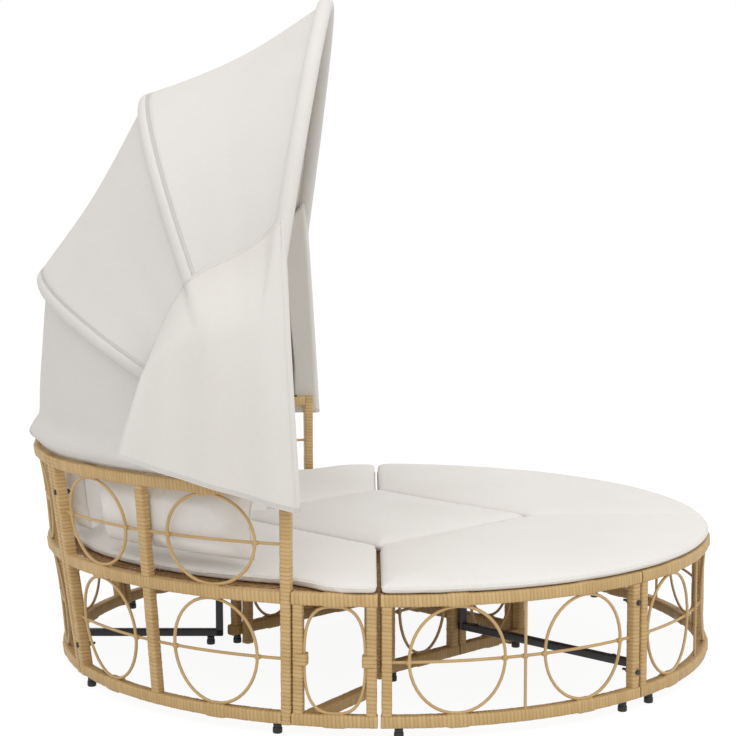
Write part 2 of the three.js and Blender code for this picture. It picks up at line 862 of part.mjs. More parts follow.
// A hoop's centre line through the given turns, so that its tube and its sleeve bend alike
class HoopCurve extends THREE.Curve {
  constructor(hoop, turns) {
    super();
    this.hoop = hoop;
    this.turns = turns;
  }
  getPoint(share) {
    const at = share * (this.turns.length - 1);
    const before = Math.min(Math.floor(at), this.turns.length - 2);
    const turn = THREE.MathUtils.lerp(this.turns[before], this.turns[before + 1], at - before);
    return hoopPoint(this.hoop, turn);
  }
  getPointAt(share) {
    return this.getPoint(share);
  }
  getTangentAt(share) {
    return this.getTangent(share);
  }
}

function tubeSection(radius, holeRadius) {
  const shape = new THREE.Shape();
  shape.absarc(0, 0, radius, 0, Math.PI * 2);
  if (holeRadius > 0) {
    const hole = new THREE.Path();
    hole.absarc(0, 0, holeRadius, 0, Math.PI * 2);
    shape.holes.push(hole);
  }
  return shape;
}

function tubeAlong(curve, radius, holeRadius) {
  return new THREE.ExtrudeGeometry(tubeSection(radius, holeRadius), {
    steps: curve.turns.length - 1,
    curveSegments: tubeSides * half,
    extrudePath: curve,
  });
}

// A round piece on the pivot line, from one distance across to another
function onPivot(radius, fromY, toY) {
  const rod = new THREE.CylinderGeometry(radius, radius, Math.abs(toY - fromY), roundSides);
  return rod.translate(pivot.x, (fromY + toY) * half, pivot.z);
}

function hoopTube(name, hoop) {
  const tube = tubeAlong(new HoopCurve(hoop, hoopTurns(hoop)), hoopTubeDiameter * half, 0);
  const nearY = -hoop.halfWidth;
  const halfEye = eyeWidth * half;
  const eye = onPivot(eyeDiameter * half, nearY - halfEye, nearY + halfEye);
  const body = joined([tube, eye, mirrored(eye)]);
  const hole = onPivot(pivotHoleRadius, nearY - eyeWidth, nearY + eyeWidth);
  place(name, cutFrom(body, [hole, mirrored(hole)]), blackSteel);
}

function hoopSleeve(name, hoop) {
  const turns = hoopTurns(hoop).slice(1, -1);
  const inner = hoopTubeDiameter * half + sleeveGap / Math.cos(Math.PI / tubeSides);
  const sleeve = tubeAlong(new HoopCurve(hoop, turns), sleeveRadius, inner);
  place(name, joined([sleeve]), canopyCloth);
}

// A closed sheet of the given thickness about a surface
function sheet(surface, columns, rows, thickness) {
  const grid = [];
  for (let i = 0; i <= columns; i += 1) {
    for (let j = 0; j <= rows; j += 1) {
      grid.push(surface(i / columns, j / rows));
    }
  }
  const at = (i, j) => grid[i * (rows + 1) + j];
  const outer = [];
  const inner = [];
  for (let i = 0; i <= columns; i += 1) {
    for (let j = 0; j <= rows; j += 1) {
      const along = at(Math.min(i + 1, columns), j).clone().sub(at(Math.max(i - 1, 0), j));
      const across = at(i, Math.min(j + 1, rows)).clone().sub(at(i, Math.max(j - 1, 0)));
      const normal = along.cross(across).normalize().multiplyScalar(thickness * half);
      outer.push(at(i, j).clone().add(normal));
      inner.push(at(i, j).clone().sub(normal));
    }
  }
  return closedSheet(outer, inner, columns, rows);
}

function closedSheet(outer, inner, columns, rows) {
  const size = outer.length;
  const faces = [];
  const index = (i, j) => i * (rows + 1) + j;
  const quad = (a, b, c, d) => faces.push(a, b, c, a, c, d);
  for (let i = 0; i < columns; i += 1) {
    for (let j = 0; j < rows; j += 1) {
      quad(index(i, j), index(i + 1, j), index(i + 1, j + 1), index(i, j + 1));
      quad(size + index(i, j), size + index(i, j + 1), size + index(i + 1, j + 1), size + index(i + 1, j));
    }
  }
  for (let i = 0; i < columns; i += 1) {
    quad(index(i + 1, 0), index(i, 0), size + index(i, 0), size + index(i + 1, 0));
    quad(index(i, rows), index(i + 1, rows), size + index(i + 1, rows), size + index(i, rows));
  }
  for (let j = 0; j < rows; j += 1) {
    quad(index(0, j), index(0, j + 1), size + index(0, j + 1), size + index(0, j));
    quad(index(columns, j + 1), index(columns, j), size + index(columns, j), size + index(columns, j + 1));
  }
  const points = [...outer, ...inner].flatMap((point) => [point.x, point.y, point.z]);
  const geometry = new THREE.BufferGeometry();
  geometry.setAttribute("position", new THREE.Float32BufferAttribute(points, 3));
  geometry.setIndex(faces);
  geometry.computeVertexNormals();
  return geometry;
}

// The bends of a hoop that the cloth spans
function goreTurns(hoop) {
  return hoopTurns(hoop).slice(goreFirstBend, -goreFirstBend);
}

// How far a cloth edge stays from a hoop's centre line to lie just off the facet of its sleeve
function sleeveReach(hoop, tangent, direction) {
  const swing = hoop.angle * degree;
  const square = new THREE.Vector3(-Math.sin(swing), 0, Math.cos(swing));
  const inPlane = new THREE.Vector3().crossVectors(tangent, square);
  const facet = (Math.PI * 2) / tubeSides;
  const angle = Math.atan2(direction.dot(square), direction.dot(inPlane)) + Math.PI * 2;
  const off = Math.abs((angle % facet) - facet * half);
  const flat = sleeveRadius * Math.cos(facet * half) + clothThickness * half * Math.sin(off);
  return flat / Math.cos(off);
}

// Steps off a hoop's sleeve towards a target, square to the hoop
function besideSleeve(hoop, point, tangent, target) {
  const away = target.clone().sub(point);
  away.addScaledVector(tangent, -tangent.dot(away)).normalize();
  return point.clone().addScaledVector(away, sleeveReach(hoop, tangent, away) + clothGap);
}

// Cloth between two hoops: its edges lie just off the sleeves and it sinks a little between them
function gore(name, front, rear, sag) {
  const frontCurve = new HoopCurve(front, goreTurns(front));
  const rearCurve = new HoopCurve(rear, goreTurns(rear));
  const surface = (u, v) => {
    const one = frontCurve.getPoint(u);
    const two = rearCurve.getPoint(u);
    const start = besideSleeve(front, one, frontCurve.getTangent(u), two);
    const end = besideSleeve(rear, two, rearCurve.getTangent(u), one);
    const point = start.lerp(end, v);
    const inward = new THREE.Vector3(pivot.x, 0, pivot.z).sub(point).normalize();
    return point.addScaledVector(inward, sag * Math.sin(Math.PI * v) * Math.sin(Math.PI * u));
  };
  const columns = frontCurve.turns.length - 1;
  place(name, sheet(surface, columns, goreRows, clothThickness), canopyCloth);
}

// Cloth from the rear hoop down to the backrest rail, with a soft roll outside the rail
function rearGore() {
  const curve = new HoopCurve(hoops.rear, goreTurns(hoops.rear));
  const hemHeight = backTop + fitGap + clothThickness * half * hemSlopeShare;
  const surface = (u, v) => {
    const middle = curve.getPoint(u);
    const angle = THREE.MathUtils.lerp(rearHemFromAngle, fullTurn - rearHemFromAngle, u);
    const hem = rimPoint(angle, railMiddle, backTop - railSize * half);
    hem.z = hemHeight;
    const outward = new THREE.Vector3(hem.x, hem.y, 0).normalize();
    const control = hem.clone().addScaledVector(outward, rearBulge * Math.sin(Math.PI * u));
    control.z = THREE.MathUtils.lerp(hem.z, middle.z, rearBulgeHeightShare);
    const top = besideSleeve(hoops.rear, middle, curve.getTangent(u), control);
    return new THREE.QuadraticBezierCurve3(top, control, hem).getPoint(v);
  };
  const columns = curve.turns.length - 1;
  place("rear_gore", sheet(surface, columns, goreRows, clothThickness), canopyCloth);
}

// How far across a hoop's sleeve reaches at a height above the pivot line
function sleeveAcross(hoop, rise) {
  const tall = hoop.reach * Math.sin(hoop.angle * degree);
  const share = THREE.MathUtils.clamp(rise / tall, 0, 1);
  const width = hoop.halfWidth * (1 - share ** hoop.power) ** (1 / hoop.power);
  const slope = (share * hoop.halfWidth * hoop.halfWidth) / (tall * width);
  return width + sleeveRadius * Math.hypot(1, slope);
}

// Side drape: hangs outside the hoop legs from the canopy edge, in soft upright folds
function drape() {
  const clear = drapeClearance + drapeThickness * half;
  const frontTop = new THREE.Vector2(drapeFrontTopForward, drapeFrontTop);
  const frontBottom = new THREE.Vector2(drapeFrontBottomForward, -drapeFrontBottom);
  const rearTop = new THREE.Vector2(-drapeRearTopBack, drapeRearTop);
  const rearBottom = new THREE.Vector2(-drapeRearBottomBack, -drapeRearBottom);
  const surface = (u, v) => {
    const top = frontTop.clone().lerp(rearTop, u);
    const bottom = frontBottom.clone().lerp(rearBottom, u);
    const flat = top.lerp(bottom, v);
    const rise = Math.max(0, flat.y);
    const back = THREE.MathUtils.smoothstep(u, half, 1);
    const outer = sleeveAcross(hoops.front, rise);
    const across = THREE.MathUtils.lerp(outer, sleeveAcross(hoops.middle, rise), back);
    const fold = drapeFold * (1 - Math.cos(Math.PI * 2 * drapeFoldCount * u)) * half * v;
    return new THREE.Vector3(pivot.x + flat.x, -across - clear - fold, pivot.z + flat.y);
  };
  placePair("side_drape", sheet(surface, drapeColumns, drapeRows, drapeThickness), canopyCloth);
}

function bracket() {
  const height = pivotHeight + bracketWidth * half;
  const low = backTop + fitGap;
  const thickness = bracketThickness;
  const plate = new THREE.Shape();
  plate.moveTo(-bracketWidth * half, 0);
  plate.lineTo(bracketWidth * half, 0);
  plate.lineTo(bracketWidth * half, height - bracketWidth * half - fitGap);
  plate.absarc(0, height - bracketWidth * half - fitGap, bracketWidth * half, 0, Math.PI);
  const upright = new THREE.ExtrudeGeometry(plate, {
    depth: thickness,
    bevelEnabled: false,
    curveSegments: roundSides,
  });
  upright.rotateX(quarterTurn).translate(pivot.x, bracketY + thickness * half, low);
  const base = new THREE.BoxGeometry(bracketBaseLength, bracketBaseWidth, thickness);
  base.rotateZ((bracketAngle - seamAngle) * -degree).translate(pivot.x, bracketY, low + thickness * half);
  const hole = onPivot(pivotHoleRadius, bracketY - bracketWidth, bracketY + bracketWidth);
  placePair("canopy_bracket", cutFrom(joined([upright, base]), [hole]), blackSteel);
}

// Pivot bolt through the bracket and the three hoop eyes, with spacers between them
function pivotBolt() {
  const outerY = -hoops.front.halfWidth - eyeWidth * half - spacerGap;
  const innerY = -hoops.rear.halfWidth + eyeWidth * half + spacerGap;
  const shank = onPivot(pivotBoltDiameter * half, outerY - spacerGap, innerY + spacerGap);
  const head = onPivot(pivotHeadDiameter * half, outerY - pivotHeadThickness, outerY);
  const nut = onPivot(pivotHeadDiameter * half, innerY, innerY + pivotHeadThickness);
  const stops = [
    [-hoops.front.halfWidth + eyeWidth * half, -hoops.middle.halfWidth - eyeWidth * half],
    [-hoops.middle.halfWidth + eyeWidth * half, bracketY - bracketThickness * half],
    [bracketY + bracketThickness * half, -hoops.rear.halfWidth - eyeWidth * half],
  ];
  const spacerRadius = pivotHeadDiameter * half;
  const spacers = stops.map(([from, to]) => onPivot(spacerRadius, from + spacerGap, to - spacerGap));
  placePair("pivot_bolt", joined([shank, head, nut, ...spacers]), blackSteel);
}

function canopy() {
  hoopTube("hoop_front", hoops.front);
  hoopTube("hoop_middle", hoops.middle);
  hoopTube("hoop_rear", hoops.rear);
  hoopSleeve("sleeve_front", hoops.front);
  hoopSleeve("sleeve_middle", hoops.middle);
  hoopSleeve("sleeve_rear", hoops.rear);
  gore("front_gore", hoops.front, hoops.middle, frontSag);
  gore("middle_gore", hoops.middle, hoops.rear, middleSag);
  rearGore();
  drape();
}

frontRimPanels();
frontInnerPanels();
frontDeck();
frontBrace();
frontCushion();
sidePanel();
rearPanel();
cornerPanel();
sofaInnerPanel();
sofaDeck();
sofaBrace();
sofaCushion();
centreFrame();
centreCushion();
pillows();
feet();
bracket();
pivotBolt();
canopy();

// The origin is under the middle of the whole daybed
const extent = new THREE.Box3().setFromObject(daybed);
daybed.position.x = -(extent.min.x + extent.max.x) * half;

export default daybed;
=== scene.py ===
"""An outdoor daybed with a folding canopy: wrapped cane frames, padded cushions and hooped canvas.

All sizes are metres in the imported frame: +X is the foot end, -Y the near side and +Z up.
"""

import json
import logging
import math
import random
from dataclasses import dataclass, field
from enum import Enum
from typing import Callable, Sequence

import bmesh
import bpy
from mathutils import Matrix, Vector, bvhtree, kdtree, noise

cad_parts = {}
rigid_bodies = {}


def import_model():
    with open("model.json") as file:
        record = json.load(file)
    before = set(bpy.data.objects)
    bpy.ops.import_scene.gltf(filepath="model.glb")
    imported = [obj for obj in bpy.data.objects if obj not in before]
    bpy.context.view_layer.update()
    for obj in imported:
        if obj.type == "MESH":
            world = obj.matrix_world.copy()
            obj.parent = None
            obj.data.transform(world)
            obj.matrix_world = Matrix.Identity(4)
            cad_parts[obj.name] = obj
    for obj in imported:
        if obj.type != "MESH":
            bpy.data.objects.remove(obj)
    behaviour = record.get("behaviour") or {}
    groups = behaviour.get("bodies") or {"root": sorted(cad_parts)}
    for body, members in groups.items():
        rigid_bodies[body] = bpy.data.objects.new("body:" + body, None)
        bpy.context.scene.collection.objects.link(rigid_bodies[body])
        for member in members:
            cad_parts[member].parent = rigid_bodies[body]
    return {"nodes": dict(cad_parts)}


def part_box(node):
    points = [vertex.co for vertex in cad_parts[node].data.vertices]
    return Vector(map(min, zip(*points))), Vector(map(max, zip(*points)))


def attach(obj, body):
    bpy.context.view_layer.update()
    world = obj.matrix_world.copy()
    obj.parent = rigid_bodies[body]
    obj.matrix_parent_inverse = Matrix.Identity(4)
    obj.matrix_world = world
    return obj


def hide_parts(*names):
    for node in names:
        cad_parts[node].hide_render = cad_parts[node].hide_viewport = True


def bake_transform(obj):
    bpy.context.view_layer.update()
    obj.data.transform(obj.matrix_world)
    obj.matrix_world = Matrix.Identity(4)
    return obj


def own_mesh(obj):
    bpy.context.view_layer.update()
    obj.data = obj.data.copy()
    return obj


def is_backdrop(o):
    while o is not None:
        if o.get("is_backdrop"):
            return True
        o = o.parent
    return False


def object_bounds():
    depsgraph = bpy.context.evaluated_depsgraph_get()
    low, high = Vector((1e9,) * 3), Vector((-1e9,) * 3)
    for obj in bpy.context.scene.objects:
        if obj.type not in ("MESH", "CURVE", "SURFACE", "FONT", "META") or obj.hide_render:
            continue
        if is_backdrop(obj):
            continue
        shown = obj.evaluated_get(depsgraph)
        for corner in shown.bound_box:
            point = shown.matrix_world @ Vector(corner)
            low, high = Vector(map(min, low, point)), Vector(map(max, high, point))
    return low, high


log = logging.getLogger("daybed")

Place = Callable[[Vector], Vector]
Surface = Callable[[float, float], Vector]
Colour = tuple[float, float, float]
Socket = bpy.types.NodeSocket
Material = bpy.types.Material
Piece = bpy.types.Object
MeshData = bpy.types.Mesh
Shape = bmesh.types.BMesh
STRAP_LAYER = "strap_place"
SEAM_LAYER = "seam_place"
FULL_TURN = 360.0
HALF_TURN = 180.0
TURN = 2 * math.pi
# How far a post reaches into the rails above and below it.
OVERLAP = 0.001
UP = Vector((0, 0, 1))
UPRIGHT_SECTION = Matrix(((0, 0, 1, 0), (1, 0, 0, 0), (0, 1, 0, 0), (0, 0, 0, 1)))


class Side(Enum):
    """The two sides of the daybed, as the nodes' names end."""

    NEAR = "near"
    FAR = "far"


class Axis(Enum):
    """The way that a bar of a frame runs."""

    ALONG = "along"
    UPRIGHT = "upright"


@dataclass(frozen=True)
class Plan:
    """Sizes of the round base that the sub-assemblies share."""

    shift: float
    rim_radius: float = 0.9
    rail: float = 0.03
    post: float = 0.025
    cane: float = 0.008
    foot_height: float = 0.025
    base_height: float = 0.324
    back_height: float = 0.579
    lower_cane: float = 0.158
    upper_cane: float = 0.436
    lean_share: float = 0.127
    seam_offset: float = 0.022
    seam_gap: float = 0.007
    centre_gap: float = 0.008
    joint_gap: float = 0.004
    centre_offset: float = 0.018
    centre_reach: float = 0.42
    deck: float = 0.012
    joint_angle: float = 45.0
    seam_angle: float = 90.0
    arm_angle: float = 105.0
    arm_middle_angle: float = 130.0
    corner_angle: float = 153.5
    full_lean_angle: float = 150.0

    @property
    def rail_middle(self) -> float:
        """Radius of the rails' middle line."""
        return self.rim_radius - self.rail / 2

    @property
    def seat_top(self) -> float:
        """Height of the top of the seat rail."""
        return self.foot_height + self.base_height

    @property
    def seat_low(self) -> float:
        """Height of the underside of the seat rail."""
        return self.seat_top - self.rail

    @property
    def back_top(self) -> float:
        """Height of the top of the backrest rail."""
        return self.foot_height + self.back_height

    @property
    def back_low(self) -> float:
        """Height of the underside of the backrest rail."""
        return self.back_top - self.rail

    @property
    def low_top(self) -> float:
        """Height of the top of the bottom rail."""
        return self.foot_height + self.rail

    @property
    def post_inset(self) -> float:
        """Distance from the end of a frame to the middle of its end post."""
        return self.post / 2 + self.cane / 4

    @property
    def inner_side(self) -> float:
        """Length of a side of the square centre opening."""
        return self.centre_reach * math.sqrt(2)

    @property
    def inner_start(self) -> float:
        """Distance from a corner of the centre opening to the frame beside it."""
        return self.rail / 2 + self.centre_gap / 2 * math.sqrt(2)

    def arc(self, angle: float) -> float:
        """Length along the rim up to an angle in degrees."""
        return math.radians(angle) * self.rail_middle

    def lean(self, angle: float) -> float:
        """Share of its height by which the backrest leans out at an angle."""
        turned = FULL_TURN - angle if angle > HALF_TURN else angle
        growth = (turned - self.arm_angle) / (self.full_lean_angle - self.arm_angle)
        return self.lean_share * min(1.0, max(0.0, growth))

    def rim_point(self, angle: float, radius: float, height: float) -> Vector:
        """Finds a point of the rim wall.

        Args:
            angle: Direction in degrees from the foot end, round by the near side.
            radius: Distance from the middle before the lean.
            height: Height above the floor.

        Returns:
            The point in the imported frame.
        """
        turn = math.radians(angle)
        lean = self.lean(angle) * (height - self.foot_height)
        return Vector((radius * math.cos(turn) - lean + self.shift, -radius * math.sin(turn), height))

    def on_rim(self, flat: Vector) -> Vector:
        """Bends a flat point, given along, inward and up, onto the rim."""
        angle = math.degrees(flat.x / self.rail_middle)
        return self.rim_point(angle, self.rail_middle - flat.y, flat.z)

    def span(self, name: str) -> tuple[float, float]:
        """Gives where a frame of the rim starts and ends along it.

        Args:
            name: One of foot, side, corner, arm and rear.

        Returns:
            The two lengths along the rim.
        """
        joint = self.joint_gap / 2
        seam = self.arc(self.seam_angle) + self.seam_offset
        spans = {
            "foot": (self.centre_gap / 2, self.arc(self.joint_angle) - joint),
            "side": (self.arc(self.joint_angle) + joint, seam - self.seam_gap / 2),
            "corner": (seam + self.seam_gap / 2, self.arc(self.arm_angle)),
            "arm": (self.arc(self.arm_angle), self.arc(self.corner_angle) - joint),
            "rear": (self.arc(self.corner_angle) + joint, self.arc(FULL_TURN - self.corner_angle) - joint),
        }
        return spans[name]

    def on_opening(self, start: float, rear: bool) -> Place:
        """Gives the placing of a straight frame on a side of the square centre opening.

        Args:
            start: Distance from the corner of the opening to the start of the frame.
            rear: True for the side from the rear corner, False for the side from the near corner.

        Returns:
            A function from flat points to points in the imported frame.
        """
        turn = Matrix.Rotation(math.radians(self.joint_angle), 3, "Z")
        corner = Vector((self.shift - self.centre_offset, -self.centre_reach, 0))
        if rear:
            corner = Vector((self.shift - self.centre_offset - self.centre_reach, 0, 0))
        return lambda flat: turn @ Vector((flat.x + start, flat.y, flat.z)) + corner


class Shader:
    """A material's node tree, with short ways to add and join nodes."""

    def __init__(self, name: str) -> None:
        """Starts a material with its main shader."""
        self.material = bpy.data.materials.new(name)
        self.material.use_nodes = True
        self.tree = self.material.node_tree
        self.surface = self.tree.nodes["Principled BSDF"]

    def node(self, kind: str, **settings: object) -> bpy.types.Node:
        """Adds a node and sets its own properties."""
        made = self.tree.nodes.new(kind)
        for key, value in settings.items():
            setattr(made, key, value)
        return made

    def feed(self, socket: Socket, source: object) -> None:
        """Joins a source socket to an input, or sets the input to a plain value."""
        if isinstance(source, Socket):
            self.tree.links.new(source, socket)
        else:
            socket.default_value = source

    def maths(self, operation: str, *inputs: object) -> Socket:
        """Adds a Math node over the inputs and gives its output."""
        made = self.node("ShaderNodeMath", operation=operation)
        for socket, source in zip(made.inputs, inputs):
            self.feed(socket, source)
        return made.outputs[0]

    def times(self, one: object, two: object) -> Socket:
        """Multiplies two values."""
        return self.maths("MULTIPLY", one, two)

    def plus(self, one: object, two: object) -> Socket:
        """Adds two values."""
        return self.maths("ADD", one, two)

    def attribute(self, name: str) -> tuple[Socket, ...]:
        """Gives the three numbers of a vector attribute of the mesh."""
        read = self.node("ShaderNodeAttribute", attribute_name=name)
        parts = self.node("ShaderNodeSeparateXYZ")
        self.feed(parts.inputs[0], read.outputs["Vector"])
        return tuple(parts.outputs)

    def place(self) -> Socket:
        """Gives the Object coordinates."""
        return self.node("ShaderNodeTexCoord").outputs["Object"]

    def vector(self, x: object, y: object, z: object) -> Socket:
        """Joins three numbers into a vector."""
        made = self.node("ShaderNodeCombineXYZ")
        for socket, source in zip(made.inputs, (x, y, z)):
            self.feed(socket, source)
        return made.outputs[0]

    def noise(self, where: object, scale: float, detail: float = 2.0, rough: float = 0.5) -> Socket:
        """Adds a noise texture and gives its value."""
        made = self.node("ShaderNodeTexNoise")
        self.feed(made.inputs["Vector"], where)
        made.inputs["Scale"].default_value = scale
        made.inputs["Detail"].default_value = detail
        made.inputs["Roughness"].default_value = rough
        return made.outputs[0]

    def stretch(self, value: object, low: float, high: float, to_low: float, to_high: float) -> Socket:
        """Maps a range of values onto another, held at its ends."""
        made = self.node("ShaderNodeMapRange")
        for socket, source in zip(made.inputs, (value, low, high, to_low, to_high)):
            self.feed(socket, source)
        return made.outputs[0]

    def mix(self, share: object, one: object, two: object, blend: str = "MIX") -> Socket:
        """Mixes two colours."""
        made = self.node("ShaderNodeMix", data_type="RGBA", blend_type=blend)
        self.feed(made.inputs[0], share)
        for socket, source in ((made.inputs[6], one), (made.inputs[7], two)):
            self.feed(socket, (*source, 1.0) if isinstance(source, tuple) else source)
        return made.outputs[2]

    def bump(self, height: object, distance: float, strength: float = 1.0, under: object = None) -> Socket:
        """Adds a bump node, over another one where that is given."""
        made = self.node("ShaderNodeBump")
        self.feed(made.inputs["Height"], height)
        made.inputs["Distance"].default_value = distance
        made.inputs["Strength"].default_value = strength
        if under is not None:
            self.feed(made.inputs["Normal"], under)
        return made.outputs[0]

    def finish(self, colour: object, roughness: object, normal: object) -> Material:
        """Joins colour, roughness and normal to the main shader and gives the material."""
        self.feed(self.surface.inputs["Base Color"], colour)
        self.feed(self.surface.inputs["Roughness"], roughness)
        self.feed(self.surface.inputs["Normal"], normal)
        return self.material


@dataclass(frozen=True)
class StrapFinish:
    """Flat synthetic cane strap, wound or woven, with painted shade in the grooves between turns."""

    name: str
    light: Colour
    dark: Colour
    # groove: colour of the painted shade laid into the grooves between turns
    groove: Colour
    roughness: float = 0.5
    fibres: tuple[float, float] = (26.0, 40.0)
    tone_share: float = 0.34
    fibre_share: float = 0.55
    # Share of painted groove shade mixed in at each turn's edges.
    groove_shade_share: float = 0.4
    fibre_depth: float = 0.0004
    groove_depth: float = 0.0006
    specular: float = 0.42

    def build(self) -> Material:
        """Makes the material: each turn has its own tone, with fine fibres along the strap and painted shade
        towards its edges, in the grooves.
        """
        shader = Shader(self.name)
        turn, around, _ = shader.attribute(STRAP_LAYER)
        number = shader.maths("FLOOR", turn)
        tone = shader.node("ShaderNodeTexWhiteNoise", noise_dimensions="1D")
        shader.feed(tone.inputs["W"], number)
        # Painted shade mask: 0 across the middle of each turn, rising to 1 at its edges, where the grooves
        # are.
        across = shader.maths("ABSOLUTE", shader.maths("SUBTRACT", shader.maths("FRACT", turn), 0.5))
        edge = shader.stretch(across, 0.3, 0.5, 0.0, 1.0)
        along, across_fibres = self.fibres
        fibre_place = shader.vector(shader.times(turn, along), shader.times(around, across_fibres), 0.0)
        fibre = shader.noise(fibre_place, 1.0, 3.0, 0.6)
        patch = shader.noise(shader.place(), 7.0, 2.0)
        share = shader.plus(
            shader.times(tone.outputs["Value"], self.tone_share), shader.times(fibre, self.fibre_share)
        )
        share = shader.plus(share, shader.stretch(patch, 0.35, 0.65, -0.12, 0.12))
        colour = shader.mix(share, self.light, self.dark)
        # Painted shade: darkens each turn towards the groove colour at its edges.
        colour = shader.mix(shader.times(edge, self.groove_shade_share), colour, self.groove)
        normal = shader.bump(fibre, self.fibre_depth, 0.6)
        normal = shader.bump(edge, -self.groove_depth, 0.8, normal)
        rough = shader.stretch(fibre, 0.2, 0.8, self.roughness - 0.08, self.roughness + 0.12)
        shader.surface.inputs["Specular IOR Level"].default_value = self.specular
        return shader.finish(colour, rough, normal)


@dataclass(frozen=True)
class CaneFinish:
    """Round cane with fine streaks along its length."""

    name: str
    light: Colour
    dark: Colour
    streaks: tuple[float, float] = (14.0, 900.0)
    streak_depth: float = 0.0003

    def build(self) -> Material:
        """Makes the material from streaks and soft patches."""
        shader = Shader(self.name)
        along, around, _ = shader.attribute(STRAP_LAYER)
        length, girth = self.streaks
        streak_place = shader.vector(shader.times(along, length), shader.times(around, girth), 0.0)
        streak = shader.noise(streak_place, 1.0, 3.0, 0.55)
        patch = shader.noise(shader.place(), 9.0, 2.0)
        darker = shader.stretch(streak, 0.25, 0.75, 0.0, 0.7)
        share = shader.plus(darker, shader.stretch(patch, 0.3, 0.7, -0.1, 0.3))
        colour = shader.mix(share, self.light, self.dark)
        normal = shader.bump(streak, self.streak_depth, 0.7)
        rough = shader.stretch(streak, 0.2, 0.8, 0.36, 0.55)
        return shader.finish(colour, rough, normal)


@dataclass(frozen=True)
class ClothFinish:
    """Outdoor canvas with a fine weave, slubs, soft creases and rows of stitches beside its seams."""

    name: str
    light: Colour
    dark: Colour
    thread_pitch: float = 0.0016
    crease: float = 0.0012
    stitched: bool = False
    stitch_row: float = 0.009
    stitches_per_metre: float = 190.0
    stitch_share: float = 0.66
    stitch_depth: float = 0.0007
    thread_depth: float = 0.00012
    slub_scale: float = 160.0
    patch_scale: float = 3.2
    crease_scale: float = 11.0

    def weave(self, shader: Shader) -> Socket:
        """Adds threads that cross on every side of the piece."""
        parts = shader.node("ShaderNodeSeparateXYZ")
        shader.feed(parts.inputs[0], shader.place())
        turns = TURN / self.thread_pitch
        waves = [shader.maths("SINE", shader.times(part, turns)) for part in parts.outputs]
        one = shader.times(waves[0], waves[1])
        two = shader.times(waves[2], shader.plus(waves[0], waves[1]))
        return shader.plus(one, two)

    def stitches(self, shader: Shader) -> Socket:
        """Adds dashes of thread along the seams, from each point's distance to its seam."""
        away, along, _ = shader.attribute(SEAM_LAYER)
        off = shader.maths("ABSOLUTE", shader.maths("SUBTRACT", away, self.stitch_row))
        row = shader.stretch(off, 0.0005, 0.0011, 1.0, 0.0)
        dash = shader.maths("FRACT", shader.times(along, self.stitches_per_metre))
        return shader.times(row, shader.maths("LESS_THAN", dash, self.stitch_share))

    def build(self) -> Material:
        """Makes the canvas material."""
        shader = Shader(self.name)
        place = shader.place()
        slub = shader.noise(place, self.slub_scale, 3.0, 0.65)
        patch = shader.noise(place, self.patch_scale, 3.0)
        darker = shader.stretch(slub, 0.3, 0.7, 0.0, 0.35)
        share = shader.plus(darker, shader.stretch(patch, 0.35, 0.65, 0.0, 0.4))
        colour = shader.mix(share, self.light, self.dark)
        creases = shader.noise(place, self.crease_scale, 3.0, 0.55)
        normal = shader.bump(creases, self.crease * 4, 0.35)
        normal = shader.bump(self.weave(shader), self.thread_depth, 0.35, normal)
        if self.stitched:
            thread = self.stitches(shader)
            colour = shader.mix(shader.times(thread, 0.45), colour, self.dark, "MULTIPLY")
            normal = shader.bump(thread, self.stitch_depth, 0.8, normal)
        shader.surface.inputs["Sheen Weight"].default_value = 0.12
        shader.surface.inputs["Sheen Roughness"].default_value = 0.5
        shader.surface.inputs["Specular IOR Level"].default_value = 0.2
        return shader.finish(colour, shader.stretch(slub, 0.2, 0.8, 0.84, 0.96), normal)


@dataclass(frozen=True)
class BlackFinish:
    """Powder-coated steel or moulded plastic, both near black."""

    name: str
    base: Colour
    worn: Colour
    roughness: float
    grain: float

    def build(self) -> Material:
        """Makes the material with a fine skin and dusty patches."""
        shader = Shader(self.name)
        place = shader.place()
        skin = shader.noise(place, self.grain, 3.0, 0.6)
        dust = shader.noise(place, 18.0, 3.0)
        colour = shader.mix(shader.stretch(dust, 0.4, 0.7, 0.0, 0.5), self.base, self.worn)
        normal = shader.bump(skin, 0.0003, 0.35)
        rough = shader.stretch(dust, 0.3, 0.7, self.roughness - 0.06, self.roughness + 0.12)
        return shader.finish(colour, rough, normal)


